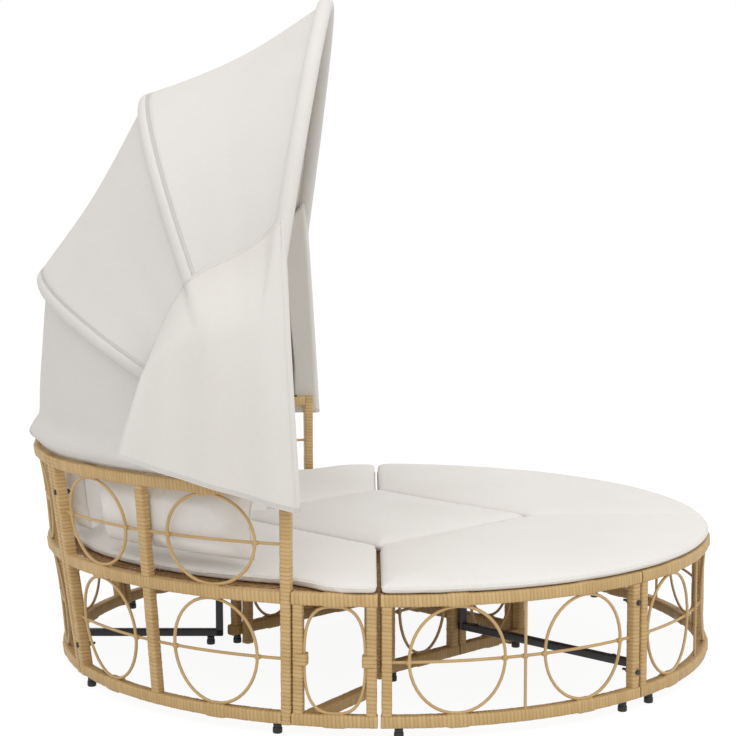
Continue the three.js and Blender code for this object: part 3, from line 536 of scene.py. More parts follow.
@dataclass
class Finishes:
    """The daybed's materials."""

    rattan: Material = field(init=False)
    cane: Material = field(init=False)
    deck: Material = field(init=False)
    cushion: Material = field(init=False)
    canopy: Material = field(init=False)
    drape: Material = field(init=False)
    steel: Material = field(init=False)
    plastic: Material = field(init=False)

    def __post_init__(self) -> None:
        """Builds every finish once."""
        # The groove colour is painted shade in the grooves between wound turns.
        self.rattan = StrapFinish(
            "rattan_strap", light=(0.68, 0.475, 0.225), dark=(0.49, 0.31, 0.12), groove=(0.25, 0.125, 0.035)
        ).build()
        self.cane = CaneFinish("round_cane", light=(0.66, 0.455, 0.21), dark=(0.47, 0.29, 0.105)).build()
        # The groove colour is painted shade along the edges of each woven strap, where the straps pass over
        # and under each other.
        self.deck = StrapFinish(
            "woven_strap", (0.40, 0.23, 0.09), (0.24, 0.12, 0.04), groove=(0.07, 0.03, 0.012), roughness=0.58
        ).build()
        self.cushion = ClothFinish("cushion_canvas", (0.82, 0.795, 0.76), (0.76, 0.73, 0.685)).build()
        self.canopy = ClothFinish(
            "canopy_canvas", light=(0.72, 0.695, 0.66), dark=(0.66, 0.635, 0.595), stitched=True
        ).build()
        self.drape = ClothFinish(
            "drape_canvas", light=(0.745, 0.72, 0.68), dark=(0.69, 0.66, 0.61), stitched=True
        ).build()
        self.steel = BlackFinish(
            "black_powder_coat", (0.020, 0.021, 0.024), (0.045, 0.045, 0.047), roughness=0.42, grain=420.0
        ).build()
        self.plastic = BlackFinish(
            "black_foot_plastic", (0.016, 0.016, 0.016), (0.05, 0.05, 0.048), roughness=0.6, grain=260.0
        ).build()


def eased(share: float) -> float:
    """Gives a soft start and end to a share from 0 to 1."""
    return share * share * (3 - 2 * share)


def new_whole() -> Shape:
    """Starts a mesh that parts are added to."""
    whole = bmesh.new()
    whole.verts.layers.float_vector.new(STRAP_LAYER)
    return whole


def extrude(shape: Shape, by: Sequence[float]) -> None:
    """Draws the faces of a flat shape out into a closed solid."""
    grown = bmesh.ops.extrude_face_region(shape, geom=shape.faces[:])
    ends = [item for item in grown["geom"] if isinstance(item, bmesh.types.BMVert)]
    bmesh.ops.translate(shape, vec=by, verts=ends)


def soften(shape: Shape, geom: list, offset: float, segments: int = 3, affect: str = "EDGES") -> None:
    """Rounds off some edges or corners of a shape."""
    bmesh.ops.bevel(
        shape,
        geom=geom,
        offset=offset,
        offset_type="OFFSET",
        segments=segments,
        profile=0.5,
        affect=affect,
        material=-1,
    )


def soft_box(size: Sequence[float], edge: float, segments: int = 3) -> Shape:
    """Makes a box with softened edges about the origin."""
    box = new_whole()
    bmesh.ops.create_cube(box, size=1.0)
    bmesh.ops.scale(box, vec=size, verts=box.verts[:])
    soften(box, box.edges[:], edge, segments)
    return box


def search_tree(points: Sequence[Vector]) -> kdtree.KDTree:
    """Makes a tree that finds the nearest of many points."""
    tree = kdtree.KDTree(len(points))
    for i, point in enumerate(points):
        tree.insert(point, i)
    tree.balance()
    return tree


def straight_rod(square: bool, sides: int, cuts: int) -> Shape:
    """Makes a closed rod of unit length and thickness along X.

    Args:
        square: True for a square section with rounded corners, False for a round one.
        sides: Sides of a round section, or segments of each rounded corner.
        cuts: Rings of points between its two ends.

    Returns:
        A new mesh, whose points lie at even steps from 0 to 1.
    """
    rod = new_whole()
    if square:
        bmesh.ops.create_grid(rod, x_segments=1, y_segments=1, size=0.5)
        soften(rod, rod.verts[:], 0.2, sides, "VERTICES")
    else:
        bmesh.ops.create_circle(rod, cap_ends=True, segments=sides, radius=0.5)
    bmesh.ops.transform(rod, matrix=UPRIGHT_SECTION, verts=rod.verts[:])
    extrude(rod, (1, 0, 0))
    if cuts > 0:
        lengths = [edge for edge in rod.edges if abs(edge.verts[0].co.x - edge.verts[1].co.x) > 0.5]
        bmesh.ops.subdivide_edges(rod, edges=lengths, cuts=cuts, use_grid_fill=True)
    return rod


def merge(whole: Shape, part: Shape) -> None:
    """Moves a part into a larger mesh."""
    carrier = bpy.data.meshes.new("carrier")
    part.to_mesh(carrier)
    part.free()
    whole.from_mesh(carrier)
    bpy.data.meshes.remove(carrier)


def add_part(whole: Shape, part: Shape) -> None:
    """Turns a closed part's faces outward and moves it into a larger mesh."""
    bmesh.ops.recalc_face_normals(part, faces=part.faces[:])
    merge(whole, part)


def make_piece(name: str, mesh: Shape, material: Material, sharp: float = 50.0) -> Piece:
    """Makes an object of a finished mesh.

    Args:
        name: Name of the piece.
        mesh: The mesh, which is freed.
        material: Its finish.
        sharp: Angle in degrees above which an edge stays sharp.

    Returns:
        The new object, at the origin.
    """
    data = bpy.data.meshes.new(name)
    mesh.to_mesh(data)
    mesh.free()
    data.materials.append(material)
    data.shade_smooth()
    data.set_sharp_from_angle(angle=math.radians(sharp))
    piece = bpy.data.objects.new(name, data)
    bpy.context.scene.collection.objects.link(piece)
    return piece


def far_copy(mesh: Shape) -> Shape:
    """Copies a mesh onto the far side, with its faces turned back outward."""
    copy = mesh.copy()
    bmesh.ops.scale(copy, vec=(1, -1, 1), verts=copy.verts[:])
    bmesh.ops.reverse_faces(copy, faces=copy.faces[:])
    return copy


def for_side(mesh: Shape, side: Side | None) -> Shape:
    """Copies a mesh of the near side onto a side, or as it is where it has no twin."""
    return far_copy(mesh) if side is Side.FAR else mesh.copy()


def fit(piece: Piece, body: str, slot: str, *nodes: str) -> Piece:
    """Lets a piece ride on its body and stand for its nodes."""
    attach(piece, body)
    if nodes:
        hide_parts(*nodes)
    log.info("%s: %d faces on %s", piece.name, len(piece.data.polygons), body)
    return piece


def bar_point(start: Vector, axis: Axis, along: float, inward: float, across: float) -> Vector:
    """Gives a flat point of a bar from its place along, inward and across the bar."""
    if axis is Axis.ALONG:
        return Vector((start.x + along, start.y + inward, start.z + across))
    return Vector((start.x + across, start.y + inward, start.z + along))


@dataclass(frozen=True)
class Winding:
    """Flat strap wound round a bar, one turn beside the next."""

    pitch: float = 0.0098
    groove: float = 0.0006
    flat_shares: tuple[float, float, float] = (0.0, 0.17, 0.83)
    slant: float = 0.0011
    lift: float = 0.0003
    swell: float = 0.0021
    swell_reach: float = 0.028

    def swollen(self, along: float, swells: Sequence[float]) -> float:
        """Gives how much the winding grows where it also holds a ring."""
        for middle in swells:
            off = abs(along - middle) / self.swell_reach
            if off < 1:
                return self.swell * min(1.0, (1 - off) * 5)
        return 0.0

    def bar(
        self,
        whole: Shape,
        start: Vector,
        axis: Axis,
        length: float,
        size: tuple[float, float],
        place: Place,
        seed: int,
        swells: Sequence[float] = (),
    ) -> None:
        """Adds a wound square bar.

        Args:
            whole: The mesh that it is added to.
            start: Middle of its first end, along, inward and up.
            axis: The way that it runs.
            length: Its length.
            size: Its inward and crosswise thickness.
            place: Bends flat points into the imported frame.
            seed: Number that its small differences come from.
            swells: Places along it where it also holds a ring.
        """
        turns = max(2, round(length / self.pitch))
        stations = len(self.flat_shares)
        rod = straight_rod(True, 3, turns * stations - 1)
        layer = rod.verts.layers.float_vector[STRAP_LAYER]
        chance = random.Random(seed)
        lifts = [chance.uniform(-self.lift, self.lift) for _ in range(turns + 1)]
        slants = [self.slant * chance.uniform(0.3, 1.4) for _ in range(turns + 1)]
        first = chance.randrange(40) * 211
        for vert in rod.verts:
            station = round(vert.co.x * turns * stations)
            turn, step = divmod(station, stations)
            share = turn + self.flat_shares[step]
            along = length * share / turns
            grow = (-self.groove if step == 0 else lifts[turn]) + self.swollen(along, swells)
            inward = vert.co.y * (size[0] + 2 * grow)
            across = vert.co.z * (size[1] + 2 * grow)
            around = math.atan2(across, inward) * (size[0] + size[1]) / math.pi
            inside = min(1.0, along / self.pitch, (length - along) / self.pitch)
            along += slants[turn] * vert.co.z * 2 * max(0.0, inside)
            vert.co = place(bar_point(start, axis, along, inward, across))
            # The turn coordinate lets the finish paint shade into the groove between turns.
            vert[layer] = (first + share, around, 0.0)
        add_part(whole, rod)


def wound_beam(whole: Shape, one: Vector, two: Vector, thickness: float, seed: int) -> None:
    """Adds a level wound beam between two points of its middle line."""
    run = two - one
    turn = Matrix.Rotation(math.atan2(run.y, run.x), 3, "Z")
    size = (thickness, thickness)
    Winding().bar(whole, Vector(), Axis.ALONG, run.length, size, lambda flat: turn @ flat + one, seed)


@dataclass(frozen=True)
class Canework:
    """Round canes, bent rings and the knots that tie them."""

    diameter: float = 0.008
    sides: int = 8
    ring_steps: int = 44
    step: float = 0.03
    outward: float = 0.0032
    bite: float = 0.002
    knot_length: float = 0.013
    knot_shares: tuple[float, ...] = (1.25, 1.62, 1.42, 1.68, 1.42, 1.62, 1.25)

    def rod(self, whole: Shape, start: Vector, axis: Axis, length: float, place: Place) -> None:
        """Adds a straight cane that follows the frame's bend."""
        rod = straight_rod(False, self.sides, max(1, round(length / self.step)))
        layer = rod.verts.layers.float_vector[STRAP_LAYER]
        for vert in rod.verts:
            along = vert.co.x * length
            inward = vert.co.y * self.diameter
            across = vert.co.z * self.diameter
            around = math.atan2(across, inward) * self.diameter / 2
            vert.co = place(bar_point(start, axis, along, inward, across))
            vert[layer] = (start.z + along, around, 0.0)
        add_part(whole, rod)

    def ring(
        self,
        whole: Shape,
        at: float,
        width: float,
        low: float,
        high: float,
        place: Place,
        power: float = 2.0,
    ) -> None:
        """Adds a closed oval ring between two rails.

        Args:
            whole: The mesh that it is added to.
            at: Its middle along the frame.
            width: Its outer width.
            low: Top of the rail below.
            high: Underside of the rail above.
            place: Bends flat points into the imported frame.
            power: 2 for an oval; more makes its sides straighter.
        """
        radius = self.diameter / 2
        half_width = width / 2 - radius
        half_height = (high - low) / 2 - radius + self.bite
        ring = new_whole()
        turn_up = Matrix.Translation((half_width, 0, 0))
        bmesh.ops.create_circle(ring, cap_ends=False, segments=self.sides, radius=radius, matrix=turn_up)
        bmesh.ops.spin(
            ring,
            geom=ring.verts[:] + ring.edges[:],
            cent=(0, 0, 0),
            axis=(0, 1, 0),
            dvec=(0, 0, 0),
            angle=TURN,
            steps=self.ring_steps,
            use_merge=True,
            use_normal_flip=False,
            use_duplicate=False,
        )
        layer = ring.verts.layers.float_vector[STRAP_LAYER]
        for vert in ring.verts:
            turn = math.atan2(vert.co.z, vert.co.x)
            out = math.hypot(vert.co.x, vert.co.z) - half_width
            vert[layer] = (at + turn * half_width, math.atan2(vert.co.y, out) * radius, 0.0)
            cosine, sine = math.cos(turn), math.sin(turn)
            across = math.copysign(abs(cosine) ** (2 / power), cosine) * half_width + out * cosine
            up = math.copysign(abs(sine) ** (2 / power), sine) * half_height + out * sine
            vert.co = place(Vector((at + across, vert.co.y - self.outward, (low + high) / 2 + up)))
        add_part(whole, ring)

    def knot(self, whole: Shape, at: Vector, place: Place, axis: Axis = Axis.ALONG) -> None:
        """Adds a few turns of thin strap that tie a ring to a cane."""
        cuts = len(self.knot_shares) - 2
        rod = straight_rod(False, self.sides, cuts)
        layer = rod.verts.layers.float_vector[STRAP_LAYER]
        for vert in rod.verts:
            size = self.diameter * self.knot_shares[round(vert.co.x * (cuts + 1))]
            along = (vert.co.x - 0.5) * self.knot_length
            vert[layer] = (vert.co.y * 0.01, along, 0.0)
            offset = Vector((along, vert.co.y * size * 1.25, vert.co.z * size))
            if axis is Axis.UPRIGHT:
                offset = Vector((offset.z, offset.y, offset.x))
            vert.co = place(at + offset)
        add_part(whole, rod)


@dataclass
class Frame:
    """A wrapped frame with cane rings, laid out flat along x and bent into place."""

    name: str
    plan: Plan
    place: Place
    seed: int
    winding: Winding = field(default_factory=Winding)
    canes: Canework = field(default_factory=Canework)
    wound: Shape = field(default_factory=new_whole)
    canework: Shape = field(default_factory=new_whole)
    swells: dict[float, list[float]] = field(default_factory=dict)
    count: int = 0

    def next_seed(self) -> int:
        """Gives the next bar's own number."""
        self.count += 1
        return self.seed * 97 + self.count

    def wind(
        self,
        start: Vector,
        axis: Axis,
        length: float,
        size: tuple[float, float],
        swells: Sequence[float] = (),
    ) -> None:
        """Adds a wound bar with the frame's next number."""
        self.winding.bar(self.wound, start, axis, length, size, self.place, self.next_seed(), swells)

    def rail(self, start: float, end: float, low: float) -> None:
        """Adds a wound rail with its underside at a height."""
        rail = self.plan.rail
        swells = [at - start for at in self.swells.get(round(low, 4), [])]
        origin = Vector((start, 0, low + rail / 2))
        self.wind(origin, Axis.ALONG, end - start, (rail, rail), swells)

    def post(self, at: float, low: float, high: float, deep: float = 0.026) -> None:
        """Adds a wound post."""
        size = (deep, self.plan.post)
        self.wind(Vector((at, 0, low)), Axis.UPRIGHT, high - low, size)

    def band(self, at: float, height: float, width: float) -> None:
        """Adds a short winding round a post and the side of a ring beside it."""
        low = Vector((at, -0.001, height - self.winding.swell_reach / 2))
        size = (self.plan.post + 0.0035, width)
        self.wind(low, Axis.UPRIGHT, self.winding.swell_reach, size)

    def cane(self, start: float, end: float, height: float) -> None:
        """Adds a level cane behind the rings."""
        behind = self.canes.diameter * 0.35
        self.canes.rod(self.canework, Vector((start, behind, height)), Axis.ALONG, end - start, self.place)

    def upright_cane(self, at: float, low: float, high: float, cane_height: float) -> None:
        """Adds an upright cane, tied to the level one."""
        start = Vector((at, -self.canes.outward, low))
        self.canes.rod(self.canework, start, Axis.UPRIGHT, high - low, self.place)
        self.canes.knot(self.canework, Vector((at, 0, cane_height)), self.place)

    def ring(self, at: float, width: float, low: float, high: float, cane_height: float) -> None:
        """Adds a ring between two rails, tied where it crosses the level cane, and held by both rails."""
        self.canes.ring(self.canework, at, width, low, high, self.place)
        rise = (cane_height - (low + high) / 2) / ((high - low) / 2)
        reach = (width - self.canes.diameter) / 2 * math.sqrt(max(0.0, 1 - rise * rise))
        for side in (-1, 1):
            self.canes.knot(self.canework, Vector((at + side * reach, 0, cane_height)), self.place)

    def hold(self, at: float, *undersides: float) -> None:
        """Notes that the rails with these undersides hold a ring here."""
        for low in undersides:
            self.swells.setdefault(round(low, 4), []).append(at)

    def pieces(self, finishes: Finishes, side: Side | None, body: str, node: str) -> None:
        """Makes the wound frame and its canework for one side.

        Args:
            finishes: The daybed's materials.
            side: The side it stands on, or None for a frame without a twin.
            body: Body that it rides on.
            node: Node that it stands for.
        """
        ending = "" if side is None else "_" + side.value
        kinds = (("wound", self.wound, finishes.rattan), ("canes", self.canework, finishes.cane))
        for kind, mesh, material in kinds:
            piece = make_piece(f"{self.name}_{kind}{ending}", for_side(mesh, side), material)
            fit(piece, body, "rattan", node)


@dataclass
class BaseFrames:
    """All wrapped frames of the two quarter seats and the sofa."""

    plan: Plan
    finishes: Finishes
    ring_share: float = 0.342
    side_shares: tuple[float, float] = (0.26, 0.74)
    foot_shares: tuple[float, float] = (0.22, 0.78)
    bay_ring: float = 0.236
    stadium_power: float = 2.8
    inner_ring_share: float = 0.66
    brace_angle: float = 103.0
    brace_reach: float = 0.245
    brace_inset: float = 0.02
    cane_bite: float = 0.003

    @property
    def cane_height(self) -> float:
        """Height of the lower level cane."""
        return self.plan.foot_height + self.plan.lower_cane

    def base(self, frame: Frame, start: float, end: float) -> None:
        """Adds a bottom rail and a seat rail."""
        frame.rail(start, end, self.plan.foot_height)
        frame.rail(start, end, self.plan.seat_low)

    def base_ring(self, frame: Frame, at: float, width: float) -> None:
        """Adds a ring between the bottom rail and the seat rail."""
        plan = self.plan
        frame.hold(at, plan.foot_height, plan.seat_low)
        frame.ring(at, width, plan.low_top, plan.seat_low, self.cane_height)

    def lower_posts(self, frame: Frame, places: Sequence[float]) -> None:
        """Adds posts between the bottom rail and the seat rail."""
        for at in places:
            frame.post(at, self.plan.low_top - OVERLAP, self.plan.seat_low + OVERLAP)

    def rim_frame(self, name: str, span: str, shares: tuple[float, float], seed: int) -> Frame:
        """Builds a front frame of the rim with its two rings."""
        plan = self.plan
        frame = Frame(name, plan, plan.on_rim, seed)
        start, end = plan.span(span)
        length = end - start
        for share in shares:
            self.base_ring(frame, start + length * share, length * self.ring_share)
        self.base(frame, start, end)
        inset = plan.post_inset
        self.lower_posts(frame, (start + inset, end - inset))
        frame.cane(start + inset, end - inset, self.cane_height)
        low, high = plan.low_top - self.cane_bite, plan.seat_low + self.cane_bite
        frame.upright_cane((start + end) / 2, low, high, self.cane_height)
        return frame

    def inner_frame(self, name: str, start: float, length: float, seed: int) -> Frame:
        """Builds half of a side of the centre opening, with one ring."""
        plan = self.plan
        frame = Frame(name, plan, plan.on_opening(start, False), seed)
        self.base_ring(frame, length / 2, length * self.inner_ring_share)
        self.base(frame, 0, length)
        inset = plan.post_inset
        self.lower_posts(frame, (inset, length - inset))
        frame.cane(inset, length - inset, self.cane_height)
        return frame

    def bay(self, frame: Frame, start: float, end: float) -> None:
        """Adds a bay of the backrest: a ring below the seat rail and one above it."""
        plan = self.plan
        at = (start + end) / 2
        width = self.bay_ring
        upper = plan.foot_height + plan.upper_cane
        self.base_ring(frame, at, width)
        frame.hold(at, plan.seat_low, plan.back_low)
        frame.ring(at, width, plan.seat_top, plan.back_low, upper)
        frame.cane(start, end, self.cane_height)
        frame.cane(start, end, upper)

    def back_frame(self, name: str, span: str, middle_angle: float, seed: int) -> Frame:
        """Builds a tall frame of the sofa with two bays."""
        plan = self.plan
        frame = Frame(name, plan, plan.on_rim, seed)
        start, end = plan.span(span)
        inset = plan.post / 2 + OVERLAP
        places = (start + inset, plan.arc(middle_angle), end - inset)
        self.bay(frame, places[0], places[1])
        self.bay(frame, places[1], places[2])
        for low in (plan.foot_height, plan.seat_low, plan.back_low):
            frame.rail(start + plan.post, end - plan.post, low)
        for at in (places[0], places[2]):
            frame.post(at, plan.foot_height, plan.back_top, 0.0305)
        for low, high in ((plan.low_top, plan.seat_low), (plan.seat_top, plan.back_low)):
            frame.post(places[1], low - OVERLAP, high + OVERLAP)
        return frame

    def corner_frame(self) -> Frame:
        """Builds the short frame in front of the arm, with the low brace that runs under the deck."""
        plan = self.plan
        frame = Frame("sofa_corner_frame", plan, plan.on_rim, 7)
        start, end = plan.span("corner")
        end -= 0.0005
        places = (start + plan.post_inset, end - plan.post_inset)
        at = (places[0] + places[1]) / 2
        width = places[1] - places[0] - plan.post + 2 * frame.canes.bite
        frame.hold(at, plan.foot_height, plan.seat_low)
        canes = frame.canes
        canes.ring(frame.canework, at, width, plan.low_top, plan.seat_low, plan.on_rim, self.stadium_power)
        self.base(frame, start, end)
        middle = (plan.low_top + plan.seat_low) / 2
        for place in places:
            self.lower_posts(frame, (place,))
            toward = math.copysign(plan.post / 2 + canes.diameter * 0.1, at - place)
            frame.band(place + toward / 2, middle, plan.post + canes.diameter * 0.9)
        self.corner_brace(frame)
        return frame

    def corner_brace(self, frame: Frame) -> None:
        """Adds the low brace and its upright under the deck."""
        plan = self.plan
        low = plan.foot_height + plan.rail / 2
        first = plan.rim_point(self.brace_angle, plan.rail_middle, low)
        seam = plan.shift - plan.seam_gap / 2 - plan.seam_offset
        last = Vector((seam - self.brace_inset, first.y + self.brace_reach, low))
        wound_beam(frame.wound, first, last, plan.rail, 71)
        foot = last + Vector((0, -plan.post / 2, 0))
        height = plan.seat_low - low
        size = (plan.post, plan.post)
        frame.winding.bar(frame.wound, Vector(), Axis.UPRIGHT, height, size, lambda flat: flat + foot, 72)

    def notch_frame(self) -> Frame:
        """Builds the low frame under the far edge of the sofa's notch."""
        plan = self.plan
        frame = Frame("sofa_notch_frame", plan, plan.on_opening(0.0, True), 8)
        first, side = plan.inner_start, plan.inner_side
        end = side - first
        for share in (0.25, 0.75):
            at = first + (end - first) * share
            frame.hold(at, plan.foot_height)
            width = (end - first) / 2 * self.inner_ring_share
            frame.ring(at, width, plan.low_top, plan.seat_low - 0.002, self.cane_height)
        frame.rail(0, end, plan.foot_height)
        for at in (first, side / 2, end - plan.post / 2):
            frame.post(at, plan.low_top - OVERLAP, plan.seat_low - 0.0003)
        frame.cane(first, end - plan.post / 2, self.cane_height)
        return frame

    def build(self) -> None:
        """Makes every frame on both sides."""
        plan = self.plan
        first, side = plan.inner_start, plan.inner_side
        second = side / 2 + plan.joint_gap / 2
        length = side / 2 - plan.joint_gap / 2 - first
        quarter = {
            "front_rim_panel_side": self.rim_frame("front_side_frame", "side", self.side_shares, 1),
            "front_rim_panel_foot": self.rim_frame("front_foot_frame", "foot", self.foot_shares, 2),
            "front_inner_panel_side": self.inner_frame("front_inner_side_frame", first, length, 3),
            "front_inner_panel_foot": self.inner_frame("front_inner_foot_frame", second, length, 4),
        }
        sofa = {
            "sofa_side_panel": self.back_frame("sofa_side_frame", "arm", plan.arm_middle_angle, 5),
            "sofa_corner_panel": self.corner_frame(),
        }
        for which in Side:
            for node, frame in quarter.items():
                frame.pieces(self.finishes, which, "front_seat_" + which.value, f"{node}_{which.value}")
            for node, frame in sofa.items():
                frame.pieces(self.finishes, which, "sofa", f"{node}_{which.value}")
        rear = self.back_frame("sofa_rear_frame", "rear", HALF_TURN, 6)
        rear.pieces(self.finishes, None, "sofa", "sofa_rear_panel")
        self.notch_frame().pieces(self.finishes, None, "sofa", "sofa_inner_panel")


@dataclass
class Outlines:
    """Plan outlines that decks and cushions share."""

    plan: Plan
    angle_step: float = 3.0

    def angles(self, start: float, end: float) -> list[float]:
        """Gives even angles from one to another."""
        steps = max(1, round(abs(end - start) / self.angle_step))
        return [start + (end - start) * i / steps for i in range(steps + 1)]

    def rim(self, start: float, end: float, radius: float, height: float) -> list[Vector]:
        """Gives points of the rim between two angles."""
        return [self.plan.rim_point(angle, radius, height) for angle in self.angles(start, end)]

    def front(
        self, radius: float, seam_x: float, centre_y: float, inset: float, height: float
    ) -> list[Vector]:
        """Outlines a near quarter seat.

        Args:
            radius: Rim radius that it reaches.
            seam_x: Place of its edge at the seam, before the shift.
            centre_y: Place of its edge at the middle line.
            inset: Distance from the sides of the centre opening.
            height: Height that the points get.

        Returns:
            The corners and the arc, in order round the seat.
        """
        plan = self.plan
        arc = self.rim(0.3, plan.seam_angle + math.degrees(-seam_x / plan.rail_middle), radius, height)
        arc[0].y = centre_y
        arc[-1].x = seam_x + plan.shift
        slant = inset * math.sqrt(2)
        seam_y = seam_x + plan.centre_offset - plan.centre_reach - slant
        centre_x = centre_y + plan.centre_reach - plan.centre_offset + slant
        at_seam = Vector((seam_x + plan.shift, seam_y, height))
        at_centre = Vector((centre_x + plan.shift, centre_y, height))
        return [at_centre, *arc, at_seam]

    def sofa(self, radius: float, seam_x: float, inset: float, height: float) -> list[Vector]:
        """Outlines the sofa seat, from the near seam round the back and by the notch."""
        plan = self.plan
        start = plan.seam_angle + math.degrees(-seam_x / plan.rail_middle)
        arc = self.rim(start, FULL_TURN - start, radius, height)
        arc[0].x = arc[-1].x = seam_x + plan.shift
        slant = inset * math.sqrt(2)
        seam_y = seam_x + plan.centre_offset + plan.centre_reach + slant
        notch = plan.shift - plan.centre_offset - plan.centre_reach - slant
        return [
            *arc,
            Vector((seam_x + plan.shift, seam_y, height)),
            Vector((notch, 0, height)),
            Vector((seam_x + plan.shift, -seam_y, height)),
        ]

    def centre(self, reach: float, height: float) -> list[Vector]:
        """Outlines the square centre seat by its four corners."""
        middle = self.plan.shift - self.plan.centre_offset
        return [
            Vector((middle + reach, 0, height)),
            Vector((middle, reach, height)),
            Vector((middle - reach, 0, height)),
            Vector((middle, -reach, height)),
        ]


@dataclass
class Decks:
    """Woven decks, the wound beams under their open edges and the centre frame."""

    plan: Plan
    finishes: Finishes
    outlines: Outlines
    strap: float = 0.0125
    wave: float = 0.0016
    clearance: float = 0.0003
    centre_clearance: float = 0.004
    strap_share: float = 0.86
    strap_thickness: float = 0.0011
    beam_drop: float = 0.002

    @property
    def beam_height(self) -> float:
        """Height of the middle line of the beams under the decks."""
        return self.plan.seat_low + self.plan.rail / 2 - self.beam_drop

    def crossings(self, outline: Sequence[Vector], at: float, axis: int) -> list[float]:
        """Finds where a line across the outline meets its edges.

        Args:
            outline: Corners of the deck.
            at: Place of the line on the other axis.
            axis: 0 where the line runs along X, 1 where it runs along Y.

        Returns:
            The sorted places along the line, in pairs.
        """
        other = 1 - axis
        found = []
        for one, two in zip(outline, [*outline[1:], outline[0]]):
            if (one[other] > at) != (two[other] > at):
                share = (at - one[other]) / (two[other] - one[other])
                found.append(one[axis] + (two[axis] - one[axis]) * share)
        return sorted(found)

    def ribbon(self, whole: Shape, start: float, end: float, axis: int, number: int) -> None:
        """Adds one strap of the weave, which goes over and under the straps that it crosses."""
        at = number * self.strap
        pitch = self.strap
        cells = max(1, round((end - start) / pitch))
        strip = new_whole()
        bmesh.ops.create_grid(strip, x_segments=cells, y_segments=1, size=0.5)
        layer = strip.verts.layers.float_vector[STRAP_LAYER]
        for vert in strip.verts:
            along = start + (vert.co.x + 0.5) * (end - start)
            cell = round(along / pitch)
            over = 1 if (cell + number) % 2 == axis else -1
            side = vert.co.y * pitch * self.strap_share
            height = self.plan.seat_top - self.wave + over * self.wave * 0.8
            # The place across the strap lets the finish paint shade along its edges.
            vert[layer] = (number + 0.5 + vert.co.y * 0.9, along, 0.0)
            vert.co = (along, at + side, height) if axis == 0 else (at + side, along, height)
        if axis == 1:
            bmesh.ops.reverse_faces(strip, faces=strip.faces[:])
        bmesh.ops.solidify(strip, geom=strip.faces[:], thickness=self.strap_thickness)
        merge(whole, strip)

    def weave(self, outline: Sequence[Vector]) -> Shape:
        """Weaves straps over the whole outline."""
        whole = new_whole()
        for axis in (0, 1):
            places = [point[1 - axis] for point in outline]
            number = math.ceil(min(places) / self.strap + 0.5)
            while number * self.strap < max(places) - self.strap / 2:
                ends = self.crossings(outline, number * self.strap, axis)
                for start, end in zip(ends[::2], ends[1::2]):
                    if end - start > self.strap:
                        self.ribbon(whole, start, end, axis, number)
                number += 1
        return whole

    def front(self) -> None:
        """Makes the two quarter decks and their beams."""
        plan = self.plan
        seam = plan.seam_gap / 2 - plan.seam_offset
        radius = plan.rim_radius - plan.rail - self.clearance
        inset = plan.rail / 2 + self.clearance
        outline = self.outlines.front(radius, seam, -plan.centre_gap / 2, inset, plan.seat_top)
        woven = self.weave(outline)
        beams = new_whole()
        half = plan.rail / 2
        height = self.beam_height
        x = outline[-1].x + half
        one = Vector((x, outline[-2].y + OVERLAP, height))
        wound_beam(beams, one, Vector((x, outline[-1].y - half, height)), plan.rail, 31)
        y = -plan.centre_gap / 2 - half
        two = Vector((outline[1].x - OVERLAP, y, height))
        wound_beam(beams, Vector((outline[0].x + half, y, height)), two, plan.rail, 32)
        for side in Side:
            body, node = "front_seat_" + side.value, "front_deck_" + side.value
            for kind, mesh, material, slot in (
                ("deck", woven, self.finishes.deck, "deck_weave"),
                ("beams", beams, self.finishes.rattan, "rattan"),
            ):
                piece = make_piece(f"front_{kind}_{side.value}", for_side(mesh, side), material)
                fit(piece, body, slot, node)

    def sofa(self) -> None:
        """Makes the sofa's deck, with beams along the seam and the notch."""
        plan = self.plan
        seam = -plan.seam_gap / 2 - plan.seam_offset
        radius = plan.rim_radius - plan.rail - self.clearance
        outline = self.outlines.sofa(radius, seam, -plan.rail / 2, plan.seat_top - plan.deck)
        piece = make_piece("sofa_deck", self.weave(outline), self.finishes.deck)
        fit(piece, "sofa", "deck_weave", "sofa_deck")
        beams = new_whole()
        half = plan.rail / 2
        height = self.beam_height
        notch, near_seam = outline[-2:]
        for sign in (1, -1):
            x = near_seam.x - half
            one = Vector((x, -sign * (plan.rim_radius - plan.rail - 0.0005), height))
            two = Vector((x, sign * near_seam.y - sign * plan.rail, height))
            wound_beam(beams, one, two, plan.rail, 33 + sign)
            corner = Vector((notch.x, 0, height))
            end = Vector((near_seam.x, sign * near_seam.y, height))
            square = Vector((-1, -sign, 0)).normalized() * half
            wound_beam(beams, corner + square, end + square, plan.rail, 36 + sign)
        fit(make_piece("sofa_beams", beams, self.finishes.rattan), "sofa", "rattan", "sofa_deck")

